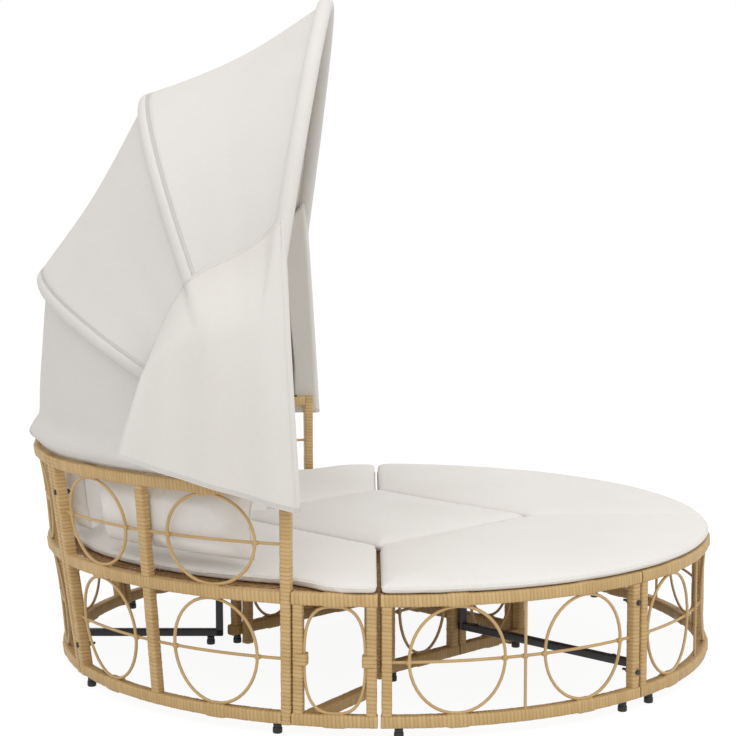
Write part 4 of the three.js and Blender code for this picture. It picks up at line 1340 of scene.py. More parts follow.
    def centre(self) -> None:
        """Makes the square centre frame on four legs, with its woven top."""
        plan = self.plan
        half = (plan.inner_side - plan.rail) / 2 - self.centre_clearance
        middle = plan.shift - plan.centre_offset
        turn = Matrix.Rotation(math.radians(plan.joint_angle), 3, "Z")
        origin = Vector((middle, 0, 0))
        signs = ((1, 1), (-1, 1), (-1, -1), (1, -1))
        corners = [turn @ Vector((x * half, y * half, plan.seat_top)) + origin for x, y in signs]
        piece = make_piece("centre_deck", self.weave(corners), self.finishes.deck)
        fit(piece, "sofa", "deck_weave", "centre_frame")
        frame = new_whole()
        size = (plan.rail, plan.rail)
        inner = half - plan.rail / 2
        leg = (plan.post, plan.post)
        lift = 0.004
        for quarter in range(4):
            place = self.turned(quarter * HALF_TURN / 2 + plan.joint_angle, origin)
            start = Vector((-half, inner, self.beam_height))
            Winding().bar(frame, start, Axis.ALONG, 2 * half, size, place, 41 + quarter)
            foot = Vector((inner, inner, lift))
            Winding().bar(frame, foot, Axis.UPRIGHT, plan.seat_low - lift, leg, place, 51 + quarter)
        fit(make_piece("centre_frame_wound", frame, self.finishes.rattan), "sofa", "rattan", "centre_frame")

    @staticmethod
    def turned(angle: float, origin: Vector) -> Place:
        """Gives a placing turned about an upright axis."""
        turn = Matrix.Rotation(math.radians(angle), 3, "Z")
        return lambda flat: turn @ flat + origin

    def build(self) -> None:
        """Makes every deck."""
        self.front()
        self.sofa()
        self.centre()


def add_disc(
    whole: Shape,
    at: Vector,
    out: Vector,
    diameter: float,
    height: float,
    sides: int = 20,
) -> None:
    """Adds a round head with a softened rim, standing out of a face.

    Args:
        whole: The mesh that it is added to.
        at: Middle of its foot.
        out: Direction that it stands out in.
        diameter: Its diameter.
        height: How far it stands out.
        sides: Sides of its round.
    """
    head = new_whole()
    radius = diameter / 2
    bmesh.ops.create_cone(head, cap_ends=True, segments=sides, radius1=radius, radius2=radius, depth=height)
    rims = []
    for edge in head.edges:
        one, two = edge.verts
        if edge.calc_length() < radius and abs(one.co.z - two.co.z) < height / 2:
            rims.append(edge)
    soften(head, rims, min(height * 0.35, diameter * 0.12))
    turn = out.normalized().to_track_quat("Z", "Y").to_matrix().to_4x4()
    middle = Matrix.Translation(at + out.normalized() * height / 2)
    bmesh.ops.transform(head, matrix=middle @ turn, verts=head.verts[:])
    add_part(whole, head)


def add_bar(whole: Shape, one: Vector, two: Vector, size: float, edge: float = 0.0022) -> None:
    """Adds a straight bar with softened edges between two points."""
    run = two - one
    bar = soft_box((size, size, run.length), edge)
    upright = abs(run.normalized().z) > 0.9
    turn = Matrix.Identity(4) if upright else run.to_track_quat("Z", "Y").to_matrix().to_4x4()
    bmesh.ops.transform(bar, matrix=Matrix.Translation((one + two) / 2) @ turn, verts=bar.verts[:])
    add_part(whole, bar)


@dataclass
class Hardware:
    """Black steel braces and bolts, and the feet."""

    plan: Plan
    finishes: Finishes
    nodes: Sequence[str]
    bolt_diameter: float = 0.0145
    bolt_height: float = 0.0055
    bolt_sink: float = 0.0015
    bolt_end: float = 0.012
    bolt_turn: float = 0.95
    joint_heights: tuple[float, float] = (0.095, 0.272)
    corner_heights: tuple[float, float] = (0.105, 0.51)
    stud_diameter: float = 0.011
    stud_height: float = 0.0035
    bar: float = 0.02
    bar_end: float = 1.35

    def braces(self) -> None:
        """Makes the black braces from the boxes of their nodes."""
        for side in Side:
            sign = -1 if side is Side.NEAR else 1
            node = "front_brace_" + side.value
            low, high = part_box(node)
            half = self.bar / 2
            end = half * self.bar_end
            inner = Vector((low.x + end, sign * (min(abs(low.y), abs(high.y)) + end), 0))
            outer = Vector((high.x - end, sign * (max(abs(low.y), abs(high.y)) - end), 0))
            run = (outer - inner).normalized()
            whole = new_whole()
            height = low.z + half
            one = inner - run * half + UP * height
            two = outer + run * half + UP * height
            add_bar(whole, one, two, self.bar)
            top = inner + UP * high.z
            add_bar(whole, inner + UP * low.z, top, self.bar)
            for share in (0.1, 0.9):
                stud = one.lerp(two, share) + UP * half * 0.98
                add_disc(whole, stud, UP, self.stud_diameter, self.stud_height)
            piece = make_piece(node, whole, self.finishes.steel, 30)
            fit(piece, "front_seat_" + side.value, "black_steel", node)
        low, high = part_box("sofa_brace")
        half = self.bar / 2
        whole = new_whole()
        height = self.plan.foot_height + half
        add_bar(whole, Vector((low.x, 0, height)), Vector((high.x, 0, height)), self.bar)
        x = high.x - half
        add_bar(whole, Vector((x, 0, low.z)), Vector((x, 0, high.z)), self.bar)
        fit(make_piece("sofa_brace", whole, self.finishes.steel, 30), "sofa", "black_steel", "sofa_brace")

    def bolts(self) -> None:
        """Makes the bolts that hold the rim frames to each other."""
        plan = self.plan
        for side in Side:
            joint = new_whole()
            corner = new_whole()
            for height in self.joint_heights:
                self.rim_bolt(joint, plan.joint_angle + self.bolt_turn, height)
            for height in self.corner_heights:
                self.rim_bolt(corner, plan.corner_angle - self.bolt_turn, height)
            seat = "front_seat_" + side.value
            for mesh, name, body in ((joint, "joint_bolts", seat), (corner, "corner_bolts", "sofa")):
                piece = make_piece(f"{name}_{side.value}", for_side(mesh, side), self.finishes.steel, 30)
                fit(piece, body, "black_steel")

    def rim_bolt(self, whole: Shape, angle: float, height: float) -> None:
        """Adds a bolt head on the outer face of a post, with its nut and end inside."""
        plan = self.plan
        outer = plan.rim_point(angle, plan.rim_radius - self.bolt_sink, height)
        inner = plan.rim_point(angle, plan.rim_radius - plan.rail, height)
        out = (outer - inner).normalized()
        add_disc(whole, outer, out, self.bolt_diameter, self.bolt_height)
        add_disc(whole, inner, -out, self.bolt_diameter * 0.95, self.bolt_height, 6)
        end = inner - out * self.bolt_height
        add_disc(whole, end, -out, self.bolt_diameter * 0.45, self.bolt_end, 12)

    def feet(self) -> None:
        """Makes a plug foot with a collar and a pad at each foot's node."""
        nodes = sorted(name for name in self.nodes if "_foot_" in name and "panel" not in name)
        for node in nodes:
            low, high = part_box(node)
            middle = (low + high) / 2
            whole = new_whole()
            base = Vector((middle.x, middle.y, 0))
            wide = (high.x - low.x + high.y - low.y) / 2
            add_disc(whole, base, UP, wide * 0.98, high.z * 0.62, 24)
            add_disc(whole, base + UP * high.z * 0.55, UP, wide * 0.86, high.z * 0.45, 24)
            body = "sofa"
            if node.startswith("front"):
                body = "front_seat_" + ("near" if node.endswith("near") else "far")
            piece = make_piece(node.replace("_foot_", "_plug_foot_"), whole, self.finishes.plastic, 40)
            fit(piece, body, "black_plastic", node)

    def build(self) -> None:
        """Makes all the black pieces of the base."""
        self.braces()
        self.bolts()
        self.feet()


def remeshed(data: MeshData, voxel: float) -> MeshData:
    """Gives an even mesh of small faces over a closed shape."""
    carrier = bpy.data.objects.new("carrier", data)
    bpy.context.scene.collection.objects.link(carrier)
    modifier = carrier.modifiers.new("even", "REMESH")
    modifier.mode = "VOXEL"
    modifier.voxel_size = voxel
    shown = carrier.evaluated_get(bpy.context.evaluated_depsgraph_get())
    even = bpy.data.meshes.new_from_object(shown)
    bpy.data.objects.remove(carrier)
    return even


def inflated(data: MeshData, pressure: float, frames: int = 20) -> list[Vector]:
    """Lets a closed cloth swell and gives the new place of each point.

    Args:
        data: The even mesh at rest.
        pressure: Air pressure inside.
        frames: Steps of the simulation.

    Returns:
        The points after the last step.
    """
    scene = bpy.context.scene
    carrier = bpy.data.objects.new("carrier", data.copy())
    scene.collection.objects.link(carrier)
    cloth = carrier.modifiers.new("cloth", "CLOTH")
    cloth.settings.quality = 4
    cloth.settings.mass = 0.3
    cloth.settings.use_pressure = True
    cloth.settings.uniform_pressure_force = pressure
    cloth.settings.tension_stiffness = 12
    cloth.settings.compression_stiffness = 12
    cloth.settings.shear_stiffness = 5
    cloth.settings.bending_stiffness = 0.4
    cloth.settings.effector_weights.gravity = 0.0
    cloth.point_cache.frame_start = 1
    cloth.point_cache.frame_end = frames
    for frame in range(1, frames + 1):
        scene.frame_set(frame)
    result = carrier.evaluated_get(bpy.context.evaluated_depsgraph_get())
    points = [vert.co.copy() for vert in result.data.vertices]
    bpy.data.objects.remove(carrier)
    scene.frame_set(1)
    return points


def limited(vector: Vector, reach: float) -> Vector:
    """Shortens a vector to a reach."""
    return vector if vector.length <= reach else vector * (reach / vector.length)


def padded_piece(name: str, data: MeshData, material: Material) -> Piece:
    """Makes a stuffed piece's object, with one subdivision."""
    data.name = name
    data.materials.clear()
    data.materials.append(material)
    piece = bpy.data.objects.new(name, data)
    bpy.context.scene.collection.objects.link(piece)
    data.shade_smooth()
    fine = piece.modifiers.new("fine", "SUBSURF")
    fine.levels = fine.render_levels = 1
    return piece


@dataclass
class Tube:
    """A round cord swept along a path, such as piping or a rolled hem."""

    diameter: float
    sides: int = 8

    def sweep(
        self,
        path: Sequence[Vector],
        up: Callable[[int], Vector],
        closed: bool,
        girth: Callable[[int], float] = lambda i: 1.0,
    ) -> Shape:
        """Sweeps the tube.

        Args:
            path: Points of its middle line.
            up: Gives a direction across the path at each point.
            closed: True where the end meets the start.
            girth: Gives its thickness at each point as a share of its diameter.

        Returns:
            A closed mesh.
        """
        count = len(path)
        rod = straight_rod(False, self.sides, count - 2)
        layer = rod.verts.layers.float_vector[STRAP_LAYER]
        for vert in rod.verts:
            at = round(vert.co.x * (count - 1))
            before = path[at - 1] if closed or at > 0 else path[at]
            after = path[(at + 1) % count] if closed or at < count - 1 else path[at]
            tangent = (after - before).normalized()
            side = tangent.cross(up(at)).normalized()
            rise = side.cross(tangent)
            size = self.diameter * girth(at)
            vert[layer] = (at * 0.01, math.atan2(vert.co.z, vert.co.y) * self.diameter / 2, 0.0)
            vert.co = path[at] + side * vert.co.y * size + rise * vert.co.z * size
        if closed:
            caps = [face for face in rod.faces if len(face.verts) == self.sides and self.sides != 4]
            rims = [edge for face in caps for edge in face.edges]
            bmesh.ops.delete(rod, geom=caps, context="FACES_ONLY")
            bmesh.ops.bridge_loops(rod, edges=rims)
        bmesh.ops.recalc_face_normals(rod, faces=rod.faces[:])
        return rod


def resampled(points: Sequence[Vector], step: float) -> list[Vector]:
    """Gives even points round a closed outline, its corners kept."""
    result = []
    for one, two in zip(points, [*points[1:], points[0]]):
        count = max(1, round((two - one).length / step))
        result.extend(one.lerp(two, i / count) for i in range(count))
    return result


def smoothed(path: Sequence[Vector], times: int) -> list[Vector]:
    """Evens out a closed path a number of times."""
    for _ in range(times):
        path = [(path[i - 1] + path[i] * 2 + path[(i + 1) % len(path)]) / 4 for i in range(len(path))]
    return list(path)


def inset_outline(points: Sequence[Vector], distance: float) -> list[Vector]:
    """Moves each point of a closed anticlockwise outline inward."""
    result = []
    for i, point in enumerate(points):
        one = (point - points[i - 1]).normalized()
        two = (points[(i + 1) % len(points)] - point).normalized()
        run = (one + two).normalized()
        inward = Vector((-run.y, run.x, 0))
        result.append(point + inward * distance)
    return result


def anticlockwise(points: Sequence[Vector]) -> list[Vector]:
    """Gives the outline in anticlockwise order."""
    area = sum(one.x * two.y - two.x * one.y for one, two in zip(points, [*points[1:], points[0]]))
    return list(points) if area > 0 else list(reversed(points))


@dataclass
class SeatCushion:
    """A padded seat cushion: a boxed pad with a crown, puckered seams and piping."""

    name: str
    node: str
    body: str
    outline: list[Vector]
    material: Material
    thickness: float = 0.0235
    rounding: float = 0.009
    voxel: float = 0.0085
    crown: float = 0.006
    crown_reach: float = 0.16
    start_inset: float = 0.0035
    draw_in: float = 0.1
    pressure: float = 3.0
    cap: float = 0.012
    edge_swell: float = 0.3
    side_cap: float = 0.0035
    pucker: float = 0.0009
    pucker_reach: float = 0.022
    pucker_pitch: float = 0.031
    unevenness: float = 0.0028
    floor_gap: float = 0.0015
    piping: float = 0.0036
    piping_share: float = 0.55
    far: bool = False

    def blank(self, low: float) -> MeshData:
        """Cuts the pad: a slab over the outline with softened edges."""
        pad = bmesh.new()
        points = inset_outline(resampled(self.outline, 0.03), self.start_inset)
        corners = [pad.verts.new((point.x, point.y, low + self.floor_gap)) for point in points]
        loop = [pad.edges.new(pair) for pair in zip(corners, [*corners[1:], corners[0]])]
        bmesh.ops.contextual_create(pad, geom=loop)
        extrude(pad, (0, 0, self.thickness - self.floor_gap))
        bmesh.ops.recalc_face_normals(pad, faces=pad.faces[:])
        rims = [edge for edge in pad.edges if abs(edge.verts[0].co.z - edge.verts[1].co.z) < 1e-6]
        soften(pad, rims, self.rounding, 4)
        bmesh.ops.triangulate(pad, faces=pad.faces[:])
        data = bpy.data.meshes.new(self.name)
        pad.to_mesh(data)
        pad.free()
        return data

    def edges(self) -> tuple[kdtree.KDTree, list[float]]:
        """Gives a search tree over the outline, with the length along it at each point."""
        points = resampled(self.outline, 0.01)
        lengths = []
        total = 0.0
        for i, point in enumerate(points):
            lengths.append(total)
            total += (points[(i + 1) % len(points)] - point).length
        return search_tree([Vector((point.x, point.y, 0)) for point in points]), lengths

    def build(self) -> Piece:
        """Simulates the pad, adds its puckers and piping and fits it in place."""
        low = min(point.z for point in self.outline)
        data = remeshed(self.blank(low), self.voxel)
        tree, lengths = self.edges()
        rest = [vert.co.copy() for vert in data.vertices]
        swollen = inflated(data, self.pressure)
        mid = low + self.thickness / 2
        for vert, start, end in zip(data.vertices, rest, swollen):
            move = limited(end - start, self.cap)
            flat = limited(Vector((move.x, move.y, 0)), self.side_cap)
            _, index, away = tree.find((start.x, start.y, 0))
            if tree.find((start.x + flat.x, start.y + flat.y, 0))[2] > away:
                flat *= self.draw_in
            inner = min(1.0, away / self.crown_reach)
            rise = move.z * (self.edge_swell + (1 - self.edge_swell) * inner)
            above = max(0.0, min(1.0, (start.z - mid) / (self.thickness / 2)))
            spot = start + Vector((flat.x, flat.y, rise))
            spot.z += self.crown * (1 - (1 - inner) ** 2) * above
            spot.z += above * self.unevenness * inner * noise.noise(start * 5.5)
            fade = math.exp(-away / self.pucker_reach)
            along = lengths[index]
            ripple = math.sin(along * TURN / self.pucker_pitch + 3 * noise.noise(start * 8)) * fade
            spot.z += ripple * self.pucker * above
            spot.z = max(low, spot.z)
            vert.co = spot
        piece = self.dress(data)
        self.add_piping(piece, low)
        return piece

    def dress(self, data: MeshData) -> Piece:
        """Makes the cushion's object on its own side."""
        if self.far:
            mesh = bmesh.new()
            mesh.from_mesh(data)
            bmesh.ops.scale(mesh, vec=(1, -1, 1), verts=mesh.verts[:])
            bmesh.ops.reverse_faces(mesh, faces=mesh.faces[:])
            mesh.to_mesh(data)
            mesh.free()
        piece = padded_piece(self.name, data, self.material)
        fit(piece, self.body, "cushion_cloth", self.node)
        return piece

    def add_piping(self, piece: Piece, low: float) -> None:
        """Sews a cord of piping along the middle of the cushion's side."""
        tree = search_tree([vert.co for vert in piece.data.vertices])
        sign = -1 if self.far else 1
        path = []
        for point in resampled(self.outline, 0.014):
            target = Vector((point.x, point.y * sign, low + self.thickness * self.piping_share))
            path.append(tree.find(target)[0])
        cord = Tube(self.piping).sweep(smoothed(path, 3), lambda i: UP, True)
        fit(make_piece(self.name + "_piping", cord, self.material), self.body, "cushion_cloth")


@dataclass
class Pillow:
    """A back pillow that stands against the backrest and bends with it."""

    name: str
    node: str
    plan: Plan
    material: Material
    from_angle: float
    to_angle: float
    far: bool
    height: float = 0.186
    depth: float = 0.118
    low: float = 0.3965
    wall: float = 0.0155
    voxel: float = 0.0065
    draw: float = 0.05
    pressure: float = 4.0
    cap: float = 0.014
    side_share: float = 0.4
    take_in: float = 0.97
    body_share: float = 0.8
    seam_depth: float = 0.005
    unevenness: float = 0.004
    piping: float = 0.005

    def blank(self) -> MeshData:
        """Cuts the pillow: two faces that meet in a seam all round."""
        pad = bmesh.new()
        bmesh.ops.create_cube(pad, size=2.0)
        bmesh.ops.subdivide_edges(pad, edges=pad.edges[:], cuts=24, use_grid_fill=True)
        length = self.plan.arc(self.to_angle) - self.plan.arc(self.from_angle)
        for vert in pad.verts:
            a, b, c = vert.co
            swell = (max(0.0, 1 - a**6) * max(0.0, 1 - b**4)) ** 0.45
            x = a * length / 2 * self.take_in * (1 - self.draw * (1 - b * b))
            z = b * self.height / 2 * self.take_in * (1 - self.draw * (1 - a * a))
            y = c * (self.depth / 2 * self.body_share * swell + self.seam_depth)
            vert.co = (x, y, z)
        data = bpy.data.meshes.new(self.name)
        pad.to_mesh(data)
        pad.free()
        return data

    def seat(self, flat: Vector) -> Vector:
        """Places a point of the flat pillow against the backrest."""
        middle = self.plan.arc((self.from_angle + self.to_angle) / 2)
        inward = self.wall + self.depth / 2
        height = self.low + self.height / 2 + flat.z
        spot = self.plan.on_rim(Vector((middle + flat.x, inward + flat.y, height)))
        return Vector((spot.x, -spot.y, spot.z)) if self.far else spot

    def build(self) -> Piece:
        """Simulates the pillow, bends it onto the rim and adds its piping."""
        data = remeshed(self.blank(), self.voxel)
        rest = [vert.co.copy() for vert in data.vertices]
        swollen = inflated(data, self.pressure)
        half = self.height / 2
        for vert, start, end in zip(data.vertices, rest, swollen):
            move = limited(end - start, self.cap)
            spot = start + Vector((move.x * self.side_share, move.y, move.z * self.side_share))
            spot.y += self.unevenness * noise.noise(start * 7 + Vector((self.from_angle, 0, 0)))
            spot.z = max(-half, spot.z)
            spot.y = max(-self.depth / 2 + 0.001, spot.y)
            vert.co = spot
        path = self.seam(search_tree([vert.co for vert in data.vertices]))
        for vert in data.vertices:
            vert.co = self.seat(vert.co)
        if self.far:
            data.flip_normals()
        piece = padded_piece(self.name, data, self.material)
        fit(piece, "sofa", "cushion_cloth", self.node)
        across = UP.cross(Vector((0.3, 0.9, 0.2)))
        cord = Tube(self.piping).sweep([self.seat(point) for point in path], lambda i: across, True)
        fit(make_piece(self.name + "_piping", cord, self.material), "sofa", "cushion_cloth")
        return piece

    def seam(self, tree: kdtree.KDTree) -> list[Vector]:
        """Follows the pillow's outer seam."""
        length = self.plan.arc(self.to_angle) - self.plan.arc(self.from_angle)
        signs = ((-1, -1), (1, -1), (1, 1), (-1, 1))
        corners = [Vector((x * length * 0.6, 0, z * self.height * 0.6)) for x, z in signs]
        path = []
        for point in resampled(corners, 0.012):
            inside = Vector((point.x * 0.8, 0, point.z * 0.8))
            found = tree.find(inside.lerp(point, 0.75))[0]
            path.append(Vector((found.x, found.y * 0.3, found.z)))
        return smoothed(path, 6)


@dataclass
class Cushions:
    """The four seat cushions and the four back pillows."""

    plan: Plan
    finishes: Finishes
    outlines: Outlines
    side_gap: float = 0.0022
    rim_inset: float = -0.001
    sofa_inset: float = 0.062
    inset_from: float = 97.6
    inset_to: float = 106.8
    rest_gap: float = 0.0003

    def seats(self) -> None:
        """Makes the seat cushions."""
        plan = self.plan
        low = plan.seat_top + self.rest_gap
        cloth = self.finishes.cushion
        seam = self.side_gap - plan.seam_offset
        centre_y = -self.side_gap
        radius = plan.rim_radius - self.rim_inset
        front = anticlockwise(self.outlines.front(radius, seam, centre_y, self.side_gap, low))
        for side in Side:
            ending = side.value
            names = ("seat_cushion_" + ending, "front_cushion_" + ending, "front_seat_" + ending)
            SeatCushion(*names, front, cloth, far=side is Side.FAR).build()
        seam = -self.side_gap - plan.seam_offset
        sofa = anticlockwise(self.outlines.sofa(radius, seam, self.side_gap, low))
        sofa = [self.drawn_in(point) for point in sofa]
        SeatCushion("sofa_seat_cushion", "sofa_cushion", "sofa", sofa, cloth, voxel=0.0095).build()
        centre = self.outlines.centre(plan.centre_reach - self.side_gap, low)
        SeatCushion("centre_seat_cushion", "centre_cushion", "sofa", centre, cloth).build()

    def drawn_in(self, point: Vector) -> Vector:
        """Draws a point of the sofa cushion's edge in behind the arms and the backrest."""
        middle = Vector((self.plan.shift, 0, point.z))
        away = point - middle
        if away.length < self.plan.rim_radius - self.sofa_inset:
            return point
        angle = math.degrees(math.atan2(abs(away.y), away.x))
        share = min(1.0, max(0.0, (angle - self.inset_from) / (self.inset_to - self.inset_from)))
        drawn = self.sofa_inset * eased(share)
        return point - away.normalized() * drawn

    def pillows(self) -> None:
        """Makes the back pillows."""
        for side in Side:
            far = side is Side.FAR
            for name, start, end in (("side_pillow", 112.0, 145.0), ("rear_pillow", 153.0, 178.5)):
                node = f"{name}_{side.value}"
                Pillow("back_" + node, node, self.plan, self.finishes.cushion, start, end, far).build()

    def build(self) -> None:
        """Makes every padded piece."""
        self.seats()
        self.pillows()


@dataclass(frozen=True)
class Hoop:
    """One canopy hoop: an oval of tube that swings about the pivot line."""

    name: str
    reach: float
    half_width: float
    angle: float
    power: float = 2.0

    def point(self, pivot: Vector, turn: float) -> Vector:
        """Gives a point of the hoop, from the near pivot at 0 to the far one at pi."""
        cosine = math.cos(turn)
        across = -math.copysign(self.half_width * abs(cosine) ** (2 / self.power), cosine)
        out = self.reach * abs(math.sin(turn)) ** (2 / self.power)
        swing = math.radians(self.angle)
        return Vector((pivot.x + out * math.cos(swing), across, pivot.z + out * math.sin(swing)))

    def square(self) -> Vector:
        """Gives the direction square to the hoop's plane, towards the rear."""
        swing = math.radians(self.angle)
        return Vector((-math.sin(swing), 0, math.cos(swing)))

    def inset_turn(self, reach: float) -> float:
        """Gives the turn at which the hoop is a given distance from the pivot line."""
        return math.asin((reach / self.reach) ** (self.power / 2))


@dataclass
class Canopy:
    """Three hoops in padded sleeves and the canvas between them."""

    plan: Plan
    finishes: Finishes
    pivot: Vector = field(init=False)
    front: Hoop = Hoop("front", 1.090, 0.886, 81.5)
    middle: Hoop = Hoop("middle", 0.881, 0.850, 111.6)
    rear: Hoop = Hoop("rear", 0.696, 0.800, 149.7, 2.3)
    tube: float = 0.016
    sleeve: float = 0.031
    sleeve_start: float = 0.06
    sleeve_growth: float = 0.32
    sleeve_growth_reach: float = 0.3
    gore_start: float = 0.07
    gore_fold: float = 0.0022
    tuck: float = 0.008
    over_behind: float = 0.006
    over_before: float = 0.0172
    cloth: float = 0.0024
    front_sag: float = 0.026
    middle_sag: float = 0.014
    rear_bulge: float = 0.008
    set_in: float = 0.008
    roll: float = 0.027
    roll_height: float = 0.034
    roll_reach: float = 0.026
    hem_from: float = 121.0
    eye_diameter: float = 0.026
    eye_width: float = 0.016
    sleeve_crease: float = 0.018
    gore_ripple: float = 0.0035
    blend_reach: float = 0.2
    hem_lift: float = 0.0025

    @property
    def all_hoops(self) -> tuple[Hoop, Hoop, Hoop]:
        """The hoops from the front to the rear."""
        return self.front, self.middle, self.rear

    def __post_init__(self) -> None:
        """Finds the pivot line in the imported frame."""
        low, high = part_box("pivot_bolt_near")
        middle = (low + high) / 2
        self.pivot = Vector((middle.x, 0, middle.z))

    def hoops(self) -> None:
        """Makes the bare hoop tubes with flattened eyes round the pivot bolts."""
        for hoop in self.all_hoops:
            path = [hoop.point(self.pivot, math.pi * i / 96) for i in range(97)]
            whole = new_whole()
            add_part(whole, Tube(self.tube, 12).sweep(path, lambda i, h=hoop: h.square(), False))
            for sign in (-1, 1):
                across = sign * hoop.half_width - self.eye_width / 2
                eye = Vector((self.pivot.x, across, self.pivot.z))
                add_disc(whole, eye, Vector((0, 1, 0)), self.eye_diameter, self.eye_width, 24)
            piece = make_piece(f"hoop_tube_{hoop.name}", whole, self.finishes.steel, 40)
            fit(piece, "hoop_" + hoop.name, "black_steel", "hoop_" + hoop.name)

    def sleeves(self) -> None:
        """Makes the padded sleeves that hold the hoops."""
        for hoop in self.all_hoops:
            first = hoop.inset_turn(self.sleeve_start)
            count = 240
            turns = [first + (math.pi - 2 * first) * i / count for i in range(count + 1)]
            path = [hoop.point(self.pivot, turn) for turn in turns]

            def girth(i: int, path: list[Vector] = path) -> float:
                """Lets the padding grow away from the pivots, with small creases."""
                nearest = min((path[i] - end).length for end in (path[0], path[-1]))
                crease = self.sleeve_crease * noise.noise((path[i] - self.pivot) * 26)
                return 1 + self.sleeve_growth * eased(min(1.0, nearest / self.sleeve_growth_reach)) + crease

            sleeve = Tube(self.sleeve, 24).sweep(path, lambda i, h=hoop: h.square(), False, girth)
            piece = make_piece(f"hoop_sleeve_{hoop.name}", sleeve, self.finishes.canopy, 60)
            fit(piece, "hoop_" + hoop.name, "canopy_cloth", "sleeve_" + hoop.name)

    def sheet(
        self, name: str, surface: Surface, columns: int, rows: int, material: Material
    ) -> Piece:
        """Makes a sheet of canvas over a surface.

        Args:
            name: Name of the piece.
            surface: Gives the point at shares of its width and length.
            columns: Faces across its width.
            rows: Faces along its length.
            material: Its finish.

        Returns:
            The new sheet, with a live thickness.
        """
        mesh = bmesh.new()
        layer = mesh.verts.layers.float_vector.new(SEAM_LAYER)
        bmesh.ops.create_grid(mesh, x_segments=columns, y_segments=rows, size=0.5)
        grid = {}
        for vert in mesh.verts:
            i, j = round((vert.co.x + 0.5) * columns), round((vert.co.y + 0.5) * rows)
            grid[i, j] = vert
        for (i, j), vert in grid.items():
            vert.co = surface(i / columns, j / rows)
        for (i, j), vert in grid.items():
            away = min((vert.co - end.co).length for end in (grid[i, 0], grid[i, rows]))
            vert[layer] = (away, i * (grid[1, 0].co - grid[0, 0].co).length, 0.0)
        piece = make_piece(name, mesh, material, 180)
        thick = piece.modifiers.new("thick", "SOLIDIFY")
        thick.thickness = self.cloth
        thick.offset = 0.0
        return piece

    def declare(self, piece: Piece, surface: Surface, held: str, rests_on: list[str]) -> None:
        """Says what size a sheet was cut to, from its longest runs and its area."""
        steps = [i / 40 for i in range(41)]
        width = max(self.run([surface(u, v) for u in steps]) for v in (0.0, 0.25, 0.5, 0.75, 1.0))
        length = max(self.run([surface(u, v) for v in steps]) for u in (0.0, 0.25, 0.5, 0.75, 1.0))
        area = sum(face.area for face in piece.data.polygons)
        log.info("%s: cut %.2f by %.2f m, %.2f m2", piece.name, width, length, area)

    @staticmethod
    def run(points: Sequence[Vector]) -> float:
        """Gives the length of a line through points."""
        return sum((two - one).length for one, two in zip(points, points[1:]))

    def gore(
        self, name: str, node: str, front: Hoop, rear: Hoop, sag: float
    ) -> None:
        """Makes the canvas between two hoops, sagging between them.

        Args:
            name: Name of the piece.
            node: Node that it stands for.
            front: Hoop at its front edge.
            rear: Hoop at its rear edge.
            sag: How far it sinks between the hoops.
        """
        one_start = front.inset_turn(self.gore_start)
        two_start = rear.inset_turn(self.gore_start)

        def surface(u: float, v: float) -> Vector:
            """Gives a point of the sagging canvas."""
            one = front.point(self.pivot, one_start + (math.pi - 2 * one_start) * u)
            two = rear.point(self.pivot, two_start + (math.pi - 2 * two_start) * u)
            run = (two - one).normalized()
            point = (one + run * self.tuck).lerp(two - run * self.tuck, v)
            inward = (self.pivot - point).normalized()
            away = min(1.0, 6 * math.sin(math.pi * u))
            over = self.over_behind + (self.over_before - self.over_behind) * v
            depth = sag * math.sin(math.pi * v) * math.sin(math.pi * u) - over * away
            low = 1 - math.sin(math.pi * u)
            folds = self.gore_fold * low * math.sin(math.pi * v) * math.sin(5 * math.pi * v + 3 * u)
            ripple = self.gore_ripple * math.sin(math.pi * v) * noise.noise(point * 3.2)
            return point + inward * (depth + folds + ripple)

        piece = self.sheet(name, surface, 96, 22, self.finishes.canopy)
        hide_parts(node)
        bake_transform(piece)
        self.declare(piece, surface, "stretched", [f"hoop_tube_{front.name}", f"hoop_tube_{rear.name}"])

    def rear_gore(self) -> None:
        """Makes the canvas from the rear hoop down to the backrest, with its soft roll outside the rail."""
        hoop = self.rear
        first = hoop.inset_turn(self.gore_start)
        plan = self.plan

        def surface(u: float, v: float) -> Vector:
            """Gives a point of the hanging canvas."""
            top = hoop.point(self.pivot, first + (math.pi - 2 * first) * u)
            angle = self.hem_from + (FULL_TURN - 2 * self.hem_from) * u
            hem = plan.rim_point(angle, plan.rail_middle, plan.back_low)
            hem.z = plan.back_top + self.hem_lift
            outward = Vector((hem.x, hem.y, 0)).normalized()
            start = top + (hem - top).normalized() * self.tuck - outward * self.set_in
            point = start.lerp(hem, v)
            away = (point.z - hem.z - self.roll_height) / self.roll_reach
            fade = min(1.0, 4 * math.sin(math.pi * u))
            roll = self.roll * math.exp(-away * away) * fade * (1 + 0.25 * noise.noise(Vector((u * 9, 0, 0))))
            end = min(1.0, (1 - v) * 14)
            swell = math.sin(math.pi * v) * math.sin(math.pi * u)
            slack = swell * (self.rear_bulge + 0.006 * noise.noise(point * 4.0))
            return point + outward * (roll * end + slack)

        piece = self.sheet("rear_canvas", surface, 96, 26, self.finishes.canopy)
        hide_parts("rear_gore")
        square = hoop.square()
        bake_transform(piece)
        self.declare(piece, surface, "hung", ["hoop_tube_rear"])

    def build(self) -> None:
        """Makes the whole canopy."""
        self.hoops()
        self.sleeves()
        self.gore("front_canvas", "front_gore", self.front, self.middle, self.front_sag)
        self.gore("middle_canvas", "middle_gore", self.middle, self.rear, self.middle_sag)
        self.rear_gore()


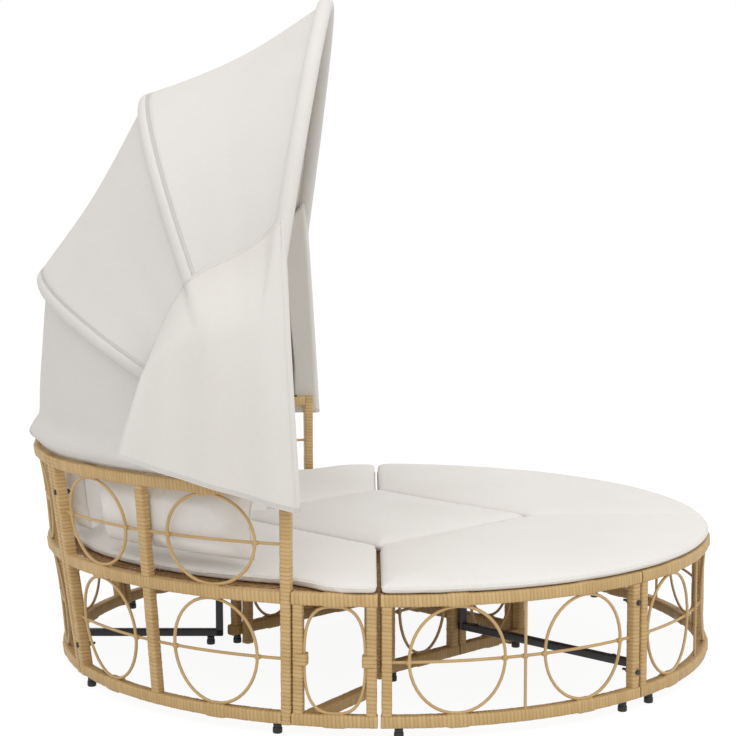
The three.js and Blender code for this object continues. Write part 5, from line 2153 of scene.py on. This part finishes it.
@dataclass
class CanopySides:
    """The side drapes with their hems, and the brackets and bolts that carry the hoops."""

    canopy: Canopy
    clear: float = 0.0035
    fold: float = 0.011
    folds: float = 3.0
    cling_share: float = 0.34
    cling: float = 0.001
    arch: float = 0.07
    arch_power: float = 2.1
    front_top: tuple[float, float] = (0.068, 0.520)
    front_bottom: tuple[float, float] = (0.106, -0.160)
    rear_top: tuple[float, float] = (-0.236, 0.225)
    rear_bottom: tuple[float, float] = (-0.316, -0.036)
    strip: float = 0.0032
    keep: float = 0.3
    turn_bulge: float = 0.010
    turn_drop: float = 0.095
    turn_clear: float = 0.027
    turn_rear: float = 0.036
    turn_lean: float = 0.09
    under: bvhtree.BVHTree = field(init=False)
    bracket_angle: float = 110.8
    bracket: float = 0.034
    plate: float = 0.004
    foot_size: tuple[float, float] = (0.09, 0.024)
    bolt_head: float = 0.02
    bolt_head_height: float = 0.006
    bolt_clear: float = 0.009
    shank: float = 0.0098
    shank_start: float = 0.010
    shank_extra: float = 0.019

    def sleeve_across(self, hoop: Hoop, rise: float) -> float:
        """Gives how far out a hoop's sleeve reaches at a height above the pivot line."""
        tall = hoop.reach * math.sin(math.radians(hoop.angle))
        share = min(1.0, max(0.0, rise / tall))
        width = hoop.half_width * (1 - share**hoop.power) ** (1 / hoop.power)
        slope = share * hoop.half_width**2 / (tall * width)
        grown = min(1.0, rise / self.canopy.sleeve_growth_reach)
        girth = 1 + self.canopy.sleeve_growth * eased(grown)
        return width + self.canopy.sleeve / 2 * girth * math.hypot(1, slope)

    def surface(self, u: float, v: float) -> Vector:
        """Gives a point of the near drape, from its front edge back and from its top down."""
        top = Vector(self.front_top).lerp(Vector(self.rear_top), u)
        top.y += self.arch * math.sin(math.pi * u**self.arch_power)
        bottom = Vector(self.front_bottom).lerp(Vector(self.rear_bottom), u)
        flat = top.lerp(bottom, v)
        rise = max(0.0, flat.y)
        back = eased(min(1.0, max(0.0, (u - 0.5) * 2)))
        front, middle = (self.sleeve_across(hoop, rise) for hoop in (self.canopy.front, self.canopy.middle))
        across = front + (middle - front) * back
        fold = self.fold * (1 - math.cos(TURN * self.folds * (u + 0.05 * v))) / 2 * v
        fold += 0.005 * v * (0.6 + noise.noise(Vector((flat.x * 7, 0, flat.y * 2.5))))
        pivot = self.canopy.pivot
        spot = Vector((pivot.x + flat.x, -across - self.clear - fold, pivot.z + flat.y))
        cling = max(0.0, 1 - v / self.cling_share) * min(1.0, u / 0.12)
        outer = self.outermost(spot) if cling > 0 else None
        if outer is not None:
            spot.y += (outer - self.cling - spot.y) * eased(cling)
        return spot

    def outermost(self, spot: Vector) -> float | None:
        """Gives how far out the canopy's near side reaches beside a point, or None where it isn't."""
        aims = [Vector((spot.x + shift, -3, spot.z - shift)) for shift in (0.0, 0.0007, -0.0007)]
        hits = [self.under.ray_cast(aim, Vector((0, 1, 0)))[0] for aim in aims]
        return min((hit.y for hit in hits if hit is not None and hit.y < 0), default=None)

    def find_under(self) -> None:
        """Finds what the near drape's upper edge lies on."""
        points = []
        faces = []
        for name in ("front_canvas", "middle_canvas", "hoop_sleeve_front", "hoop_sleeve_middle"):
            data = bpy.data.objects[name].data
            first = len(points)
            points.extend(vert.co.copy() for vert in data.vertices)
            faces.extend([first + i for i in face.vertices] for face in data.polygons)
        self.under = bvhtree.BVHTree.FromPolygons(points, faces)

    def turn_back(self, u: float, v: float) -> Vector:
        """Gives a point of the strip that turns back inside the front hoop."""
        edge = self.surface(0.0, v)
        pivot = self.canopy.pivot
        rise = edge.z - pivot.z
        rear = self.turn_rear - self.turn_lean * max(0.0, rise)
        back = max(0.0, (u - 0.25) / 0.75)
        turn = math.pi * min(1.0, u / 0.25)
        x = edge.x - pivot.x + self.turn_bulge * math.sin(turn)
        x += (rear - edge.x + pivot.x) * back
        z = edge.z - self.turn_drop * back * max(0.0, 1 - v * 2) ** 2
        reach = min(1.0, math.hypot(x, max(0.0, z - pivot.z)) / self.canopy.front.reach)
        inner = -self.canopy.front.half_width * math.sqrt(1 - reach * reach) + self.turn_clear
        outer = self.outermost(Vector((pivot.x + x, 0, z)))
        if outer is not None:
            inner = max(inner, outer + self.turn_clear / 2)
        y = edge.y + (inner - edge.y) * (1 - math.cos(turn)) / 2
        return Vector((pivot.x + x, y, z))

    def drapes(self) -> None:
        """Makes both side drapes with their hems and the strips that turn back inside."""
        canopy = self.canopy
        self.find_under()
        for side in Side:
            sign = 1 if side is Side.NEAR else -1

            def place(u: float, v: float, sign: int = sign) -> Vector:
                """Gives a point of the drape on its own side."""
                spot = self.surface(u, v)
                return Vector((spot.x, spot.y * sign, spot.z))

            def back(u: float, v: float, sign: int = sign) -> Vector:
                """Gives a point of the strip on its own side."""
                spot = self.turn_back(u, v)
                return Vector((spot.x, spot.y * sign, spot.z))

            name = "side_canvas_" + side.value
            piece = canopy.sheet(name, place, 72, 44, canopy.finishes.drape)
            self.hang(piece, "side_drape_" + side.value)
            canopy.declare(piece, place, "hung", ["hoop_sleeve_front", "hoop_sleeve_middle"])
            strip = canopy.sheet("side_canvas_return_" + side.value, back, 20, 44, canopy.finishes.drape)
            self.hang(strip)
            canopy.declare(strip, back, "hung", [piece.name])
            self.hem(side, place)

    def hang(self, piece: Piece, *nodes: str) -> None:
        """Lets a piece of the drapes ride on the sofa, with a mesh of its own."""
        fit(piece, "sofa", "drape_cloth", *nodes)
        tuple(self.canopy.pivot)
        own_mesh(piece)

    def hem(self, side: Side, place: Surface) -> None:
        """Sews a rolled hem along the drape's sides and its lower edge."""
        steps = [i / 60 for i in range(61)]
        path = [place(0.0, v) for v in steps[6:-1]] + [place(u, 1.0) for u in steps]
        path += [place(1.0, 1 - v) for v in steps[1:-3]]
        cord = Tube(self.strip, 6).sweep(path, lambda i: Vector((0.1, 1, 0.1)), False)
        self.hang(make_piece("side_canvas_hem_" + side.value, cord, self.canopy.finishes.drape))

    def pivot_bolt(self) -> Shape:
        """Builds the near pivot bolt: head, nut and shank."""
        pivot = self.canopy.pivot
        outer, inner = -self.canopy.front.half_width, -self.canopy.rear.half_width
        out = Vector((0, -1, 0))
        head, nut, shank = (
            pivot + Vector((0, across, 0))
            for across in (outer - self.bolt_clear, inner + self.bolt_clear, inner + self.shank_start)
        )
        bolt = new_whole()
        add_disc(bolt, head, out, self.bolt_head, self.bolt_head_height, 24)
        add_disc(bolt, nut, -out, self.bolt_head, self.bolt_head_height, 6)
        add_disc(bolt, shank, out, self.shank, abs(outer - inner) + self.shank_extra, 16)
        return bolt

    def bracket_shape(self) -> Shape:
        """Builds the near bracket: an upright plate with a round top, on a flat foot."""
        plan = self.canopy.plan
        pivot = self.canopy.pivot
        base = plan.rim_point(self.bracket_angle, plan.rail_middle, plan.back_top)
        half = self.bracket / 2
        low = plan.back_top + 0.0003
        turns = [math.pi * i / 16 for i in range(17)]
        outline = [(half, low)]
        outline += [(half * math.cos(turn), pivot.z + half * math.sin(turn)) for turn in turns]
        outline += [(-half, low)]
        plate = new_whole()
        points = [plate.verts.new((pivot.x + x, base.y + self.plate / 2, z)) for x, z in outline]
        bmesh.ops.contextual_create(plate, geom=points)
        extrude(plate, (0, -self.plate, 0))
        rims = [edge for edge in plate.edges if len(edge.link_faces) == 2 and edge.calc_face_angle(0) > 0.8]
        soften(plate, rims, 0.0008, 2)
        foot = soft_box((*self.foot_size, self.plate), 0.001, 2)
        turn = Matrix.Rotation(-math.radians(self.bracket_angle - plan.seam_angle), 4, "Z")
        middle = Matrix.Translation((pivot.x, base.y, low + self.plate / 2))
        bmesh.ops.transform(foot, matrix=middle @ turn, verts=foot.verts[:])
        whole = new_whole()
        add_part(whole, plate)
        add_part(whole, foot)
        return whole

    def hardware(self) -> None:
        """Makes the brackets and the pivot bolts."""
        shapes = (
            (self.pivot_bolt(), "hoop_bolt_", "pivot_bolt_"),
            (self.bracket_shape(), "hoop_bracket_", "canopy_bracket_"),
        )
        for side in Side:
            for mesh, name, node in shapes:
                piece = make_piece(name + side.value, for_side(mesh, side), self.canopy.finishes.steel, 30)
                fit(piece, "sofa", "black_steel", node + side.value)

    def build(self) -> None:
        """Makes the canopy's sides and what carries it."""
        self.drapes()
        self.hardware()


@dataclass
class Studio:
    """Pale floor, soft light and the camera of the product view."""

    aim: Vector
    camera_place: Vector = Vector((-0.0079, -5.334, 1.378))
    pitch: float = 83.70
    lens: float = 93.86
    sky: float = 0.84
    floor_glow: float = 1.1
    floor_share: float = 0.84

    def world(self) -> None:
        """Lights the scene evenly, with a white background for the camera and in reflections."""
        world = bpy.data.worlds.new("studio")
        bpy.context.scene.world = world
        world.use_nodes = True
        tree = world.node_tree
        tree.nodes.clear()
        output = tree.nodes.new("ShaderNodeOutputWorld")
        path = tree.nodes.new("ShaderNodeLightPath")
        plain = tree.nodes.new("ShaderNodeBackground")
        plain.inputs["Strength"].default_value = self.sky
        white = tree.nodes.new("ShaderNodeBackground")
        white.inputs["Strength"].default_value = 1.0
        for shade in (plain, white):
            shade.inputs["Color"].default_value = (1, 1, 1, 1)
        seen = path.outputs["Is Camera Ray"]
        for ray in ("Is Glossy Ray", "Is Transmission Ray"):
            most = tree.nodes.new("ShaderNodeMath")
            most.operation = "MAXIMUM"
            tree.links.new(seen, most.inputs[0])
            tree.links.new(path.outputs[ray], most.inputs[1])
            seen = most.outputs[0]
        choice = tree.nodes.new("ShaderNodeMixShader")
        tree.links.new(seen, choice.inputs[0])
        tree.links.new(plain.outputs[0], choice.inputs[1])
        tree.links.new(white.outputs[0], choice.inputs[2])
        tree.links.new(choice.outputs[0], output.inputs["Surface"])

    def lamp(self, name: str, place: Vector, size: float, power: float) -> None:
        """Adds a soft square lamp aimed at the daybed."""
        data = bpy.data.lights.new(name, "AREA")
        data.shape = "SQUARE"
        data.size = size
        data.energy = power
        lamp = bpy.data.objects.new(name, data)
        lamp.location = place
        lamp.rotation_euler = (self.aim - place).to_track_quat("-Z", "Y").to_euler()
        bpy.context.scene.collection.objects.link(lamp)

    def floor(self) -> None:
        """Makes the pale floor, which keeps the daybed's shadow."""
        mesh = bmesh.new()
        bmesh.ops.create_grid(mesh, x_segments=1, y_segments=1, size=12.0)
        bmesh.ops.translate(mesh, vec=(0, 0, -0.0005), verts=mesh.verts[:])
        shader = Shader("pale_floor")
        path = shader.node("ShaderNodeLightPath")
        glow = shader.node("ShaderNodeEmission")
        glow.inputs["Strength"].default_value = self.floor_glow
        mixed = shader.node("ShaderNodeMixShader")
        seen = shader.maths("MAXIMUM", path.outputs["Is Camera Ray"], path.outputs["Is Glossy Ray"])
        shader.feed(mixed.inputs[0], shader.times(seen, self.floor_share))
        shader.surface.inputs["Base Color"].default_value = (0.82, 0.82, 0.82, 1)
        shader.surface.inputs["Roughness"].default_value = 0.9
        shader.feed(mixed.inputs[1], shader.surface.outputs[0])
        shader.feed(mixed.inputs[2], glow.outputs[0])
        output = shader.tree.nodes["Material Output"]
        shader.feed(output.inputs["Surface"], mixed.outputs[0])
        floor = make_piece("floor", mesh, shader.material)
        floor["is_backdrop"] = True

    def camera(self) -> None:
        """Sets the camera at the product view's angle."""
        data = bpy.data.cameras.new("camera")
        data.lens = self.lens
        data.sensor_width = 36.0
        data.clip_end = 100.0
        camera = bpy.data.objects.new("camera", data)
        camera.location = self.camera_place
        camera.rotation_euler = (math.radians(self.pitch), 0, 0)
        bpy.context.scene.collection.objects.link(camera)
        bpy.context.scene.camera = camera

    def build(self) -> None:
        """Makes the whole studio."""
        self.world()
        self.floor()
        self.lamp("key_lamp", Vector((-0.8, -4.8, 4.4)), 3.0, 40.0)
        self.lamp("fill_lamp", Vector((3.4, -3.2, 2.6)), 3.0, 14.0)
        self.lamp("top_lamp", Vector((0.6, -0.6, 4.8)), 4.0, 46.0)
        self.camera()
        bpy.context.scene.view_settings.view_transform = "Standard"


def clear_scene() -> None:
    """Removes what an empty Blender file starts with."""
    for item in list(bpy.data.objects):
        bpy.data.objects.remove(item)


def main() -> None:
    """Builds the daybed round its frame and reports each piece."""
    logging.basicConfig(level=logging.INFO, format="%(message)s")
    clear_scene()
    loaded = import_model()
    frame_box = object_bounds()
    middle = (frame_box[0] + frame_box[1]) / 2
    Studio(middle).build()
    low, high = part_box("centre_frame")
    plan = Plan(shift=(low.x + high.x) / 2 + Plan.centre_offset)
    finishes = Finishes()
    outlines = Outlines(plan)
    BaseFrames(plan, finishes).build()
    Decks(plan, finishes, outlines).build()
    Hardware(plan, finishes, list(loaded["nodes"])).build()
    Cushions(plan, finishes, outlines).build()
    canopy = Canopy(plan, finishes)
    canopy.build()
    CanopySides(canopy).build()


if __name__ == "__main__":
    main()
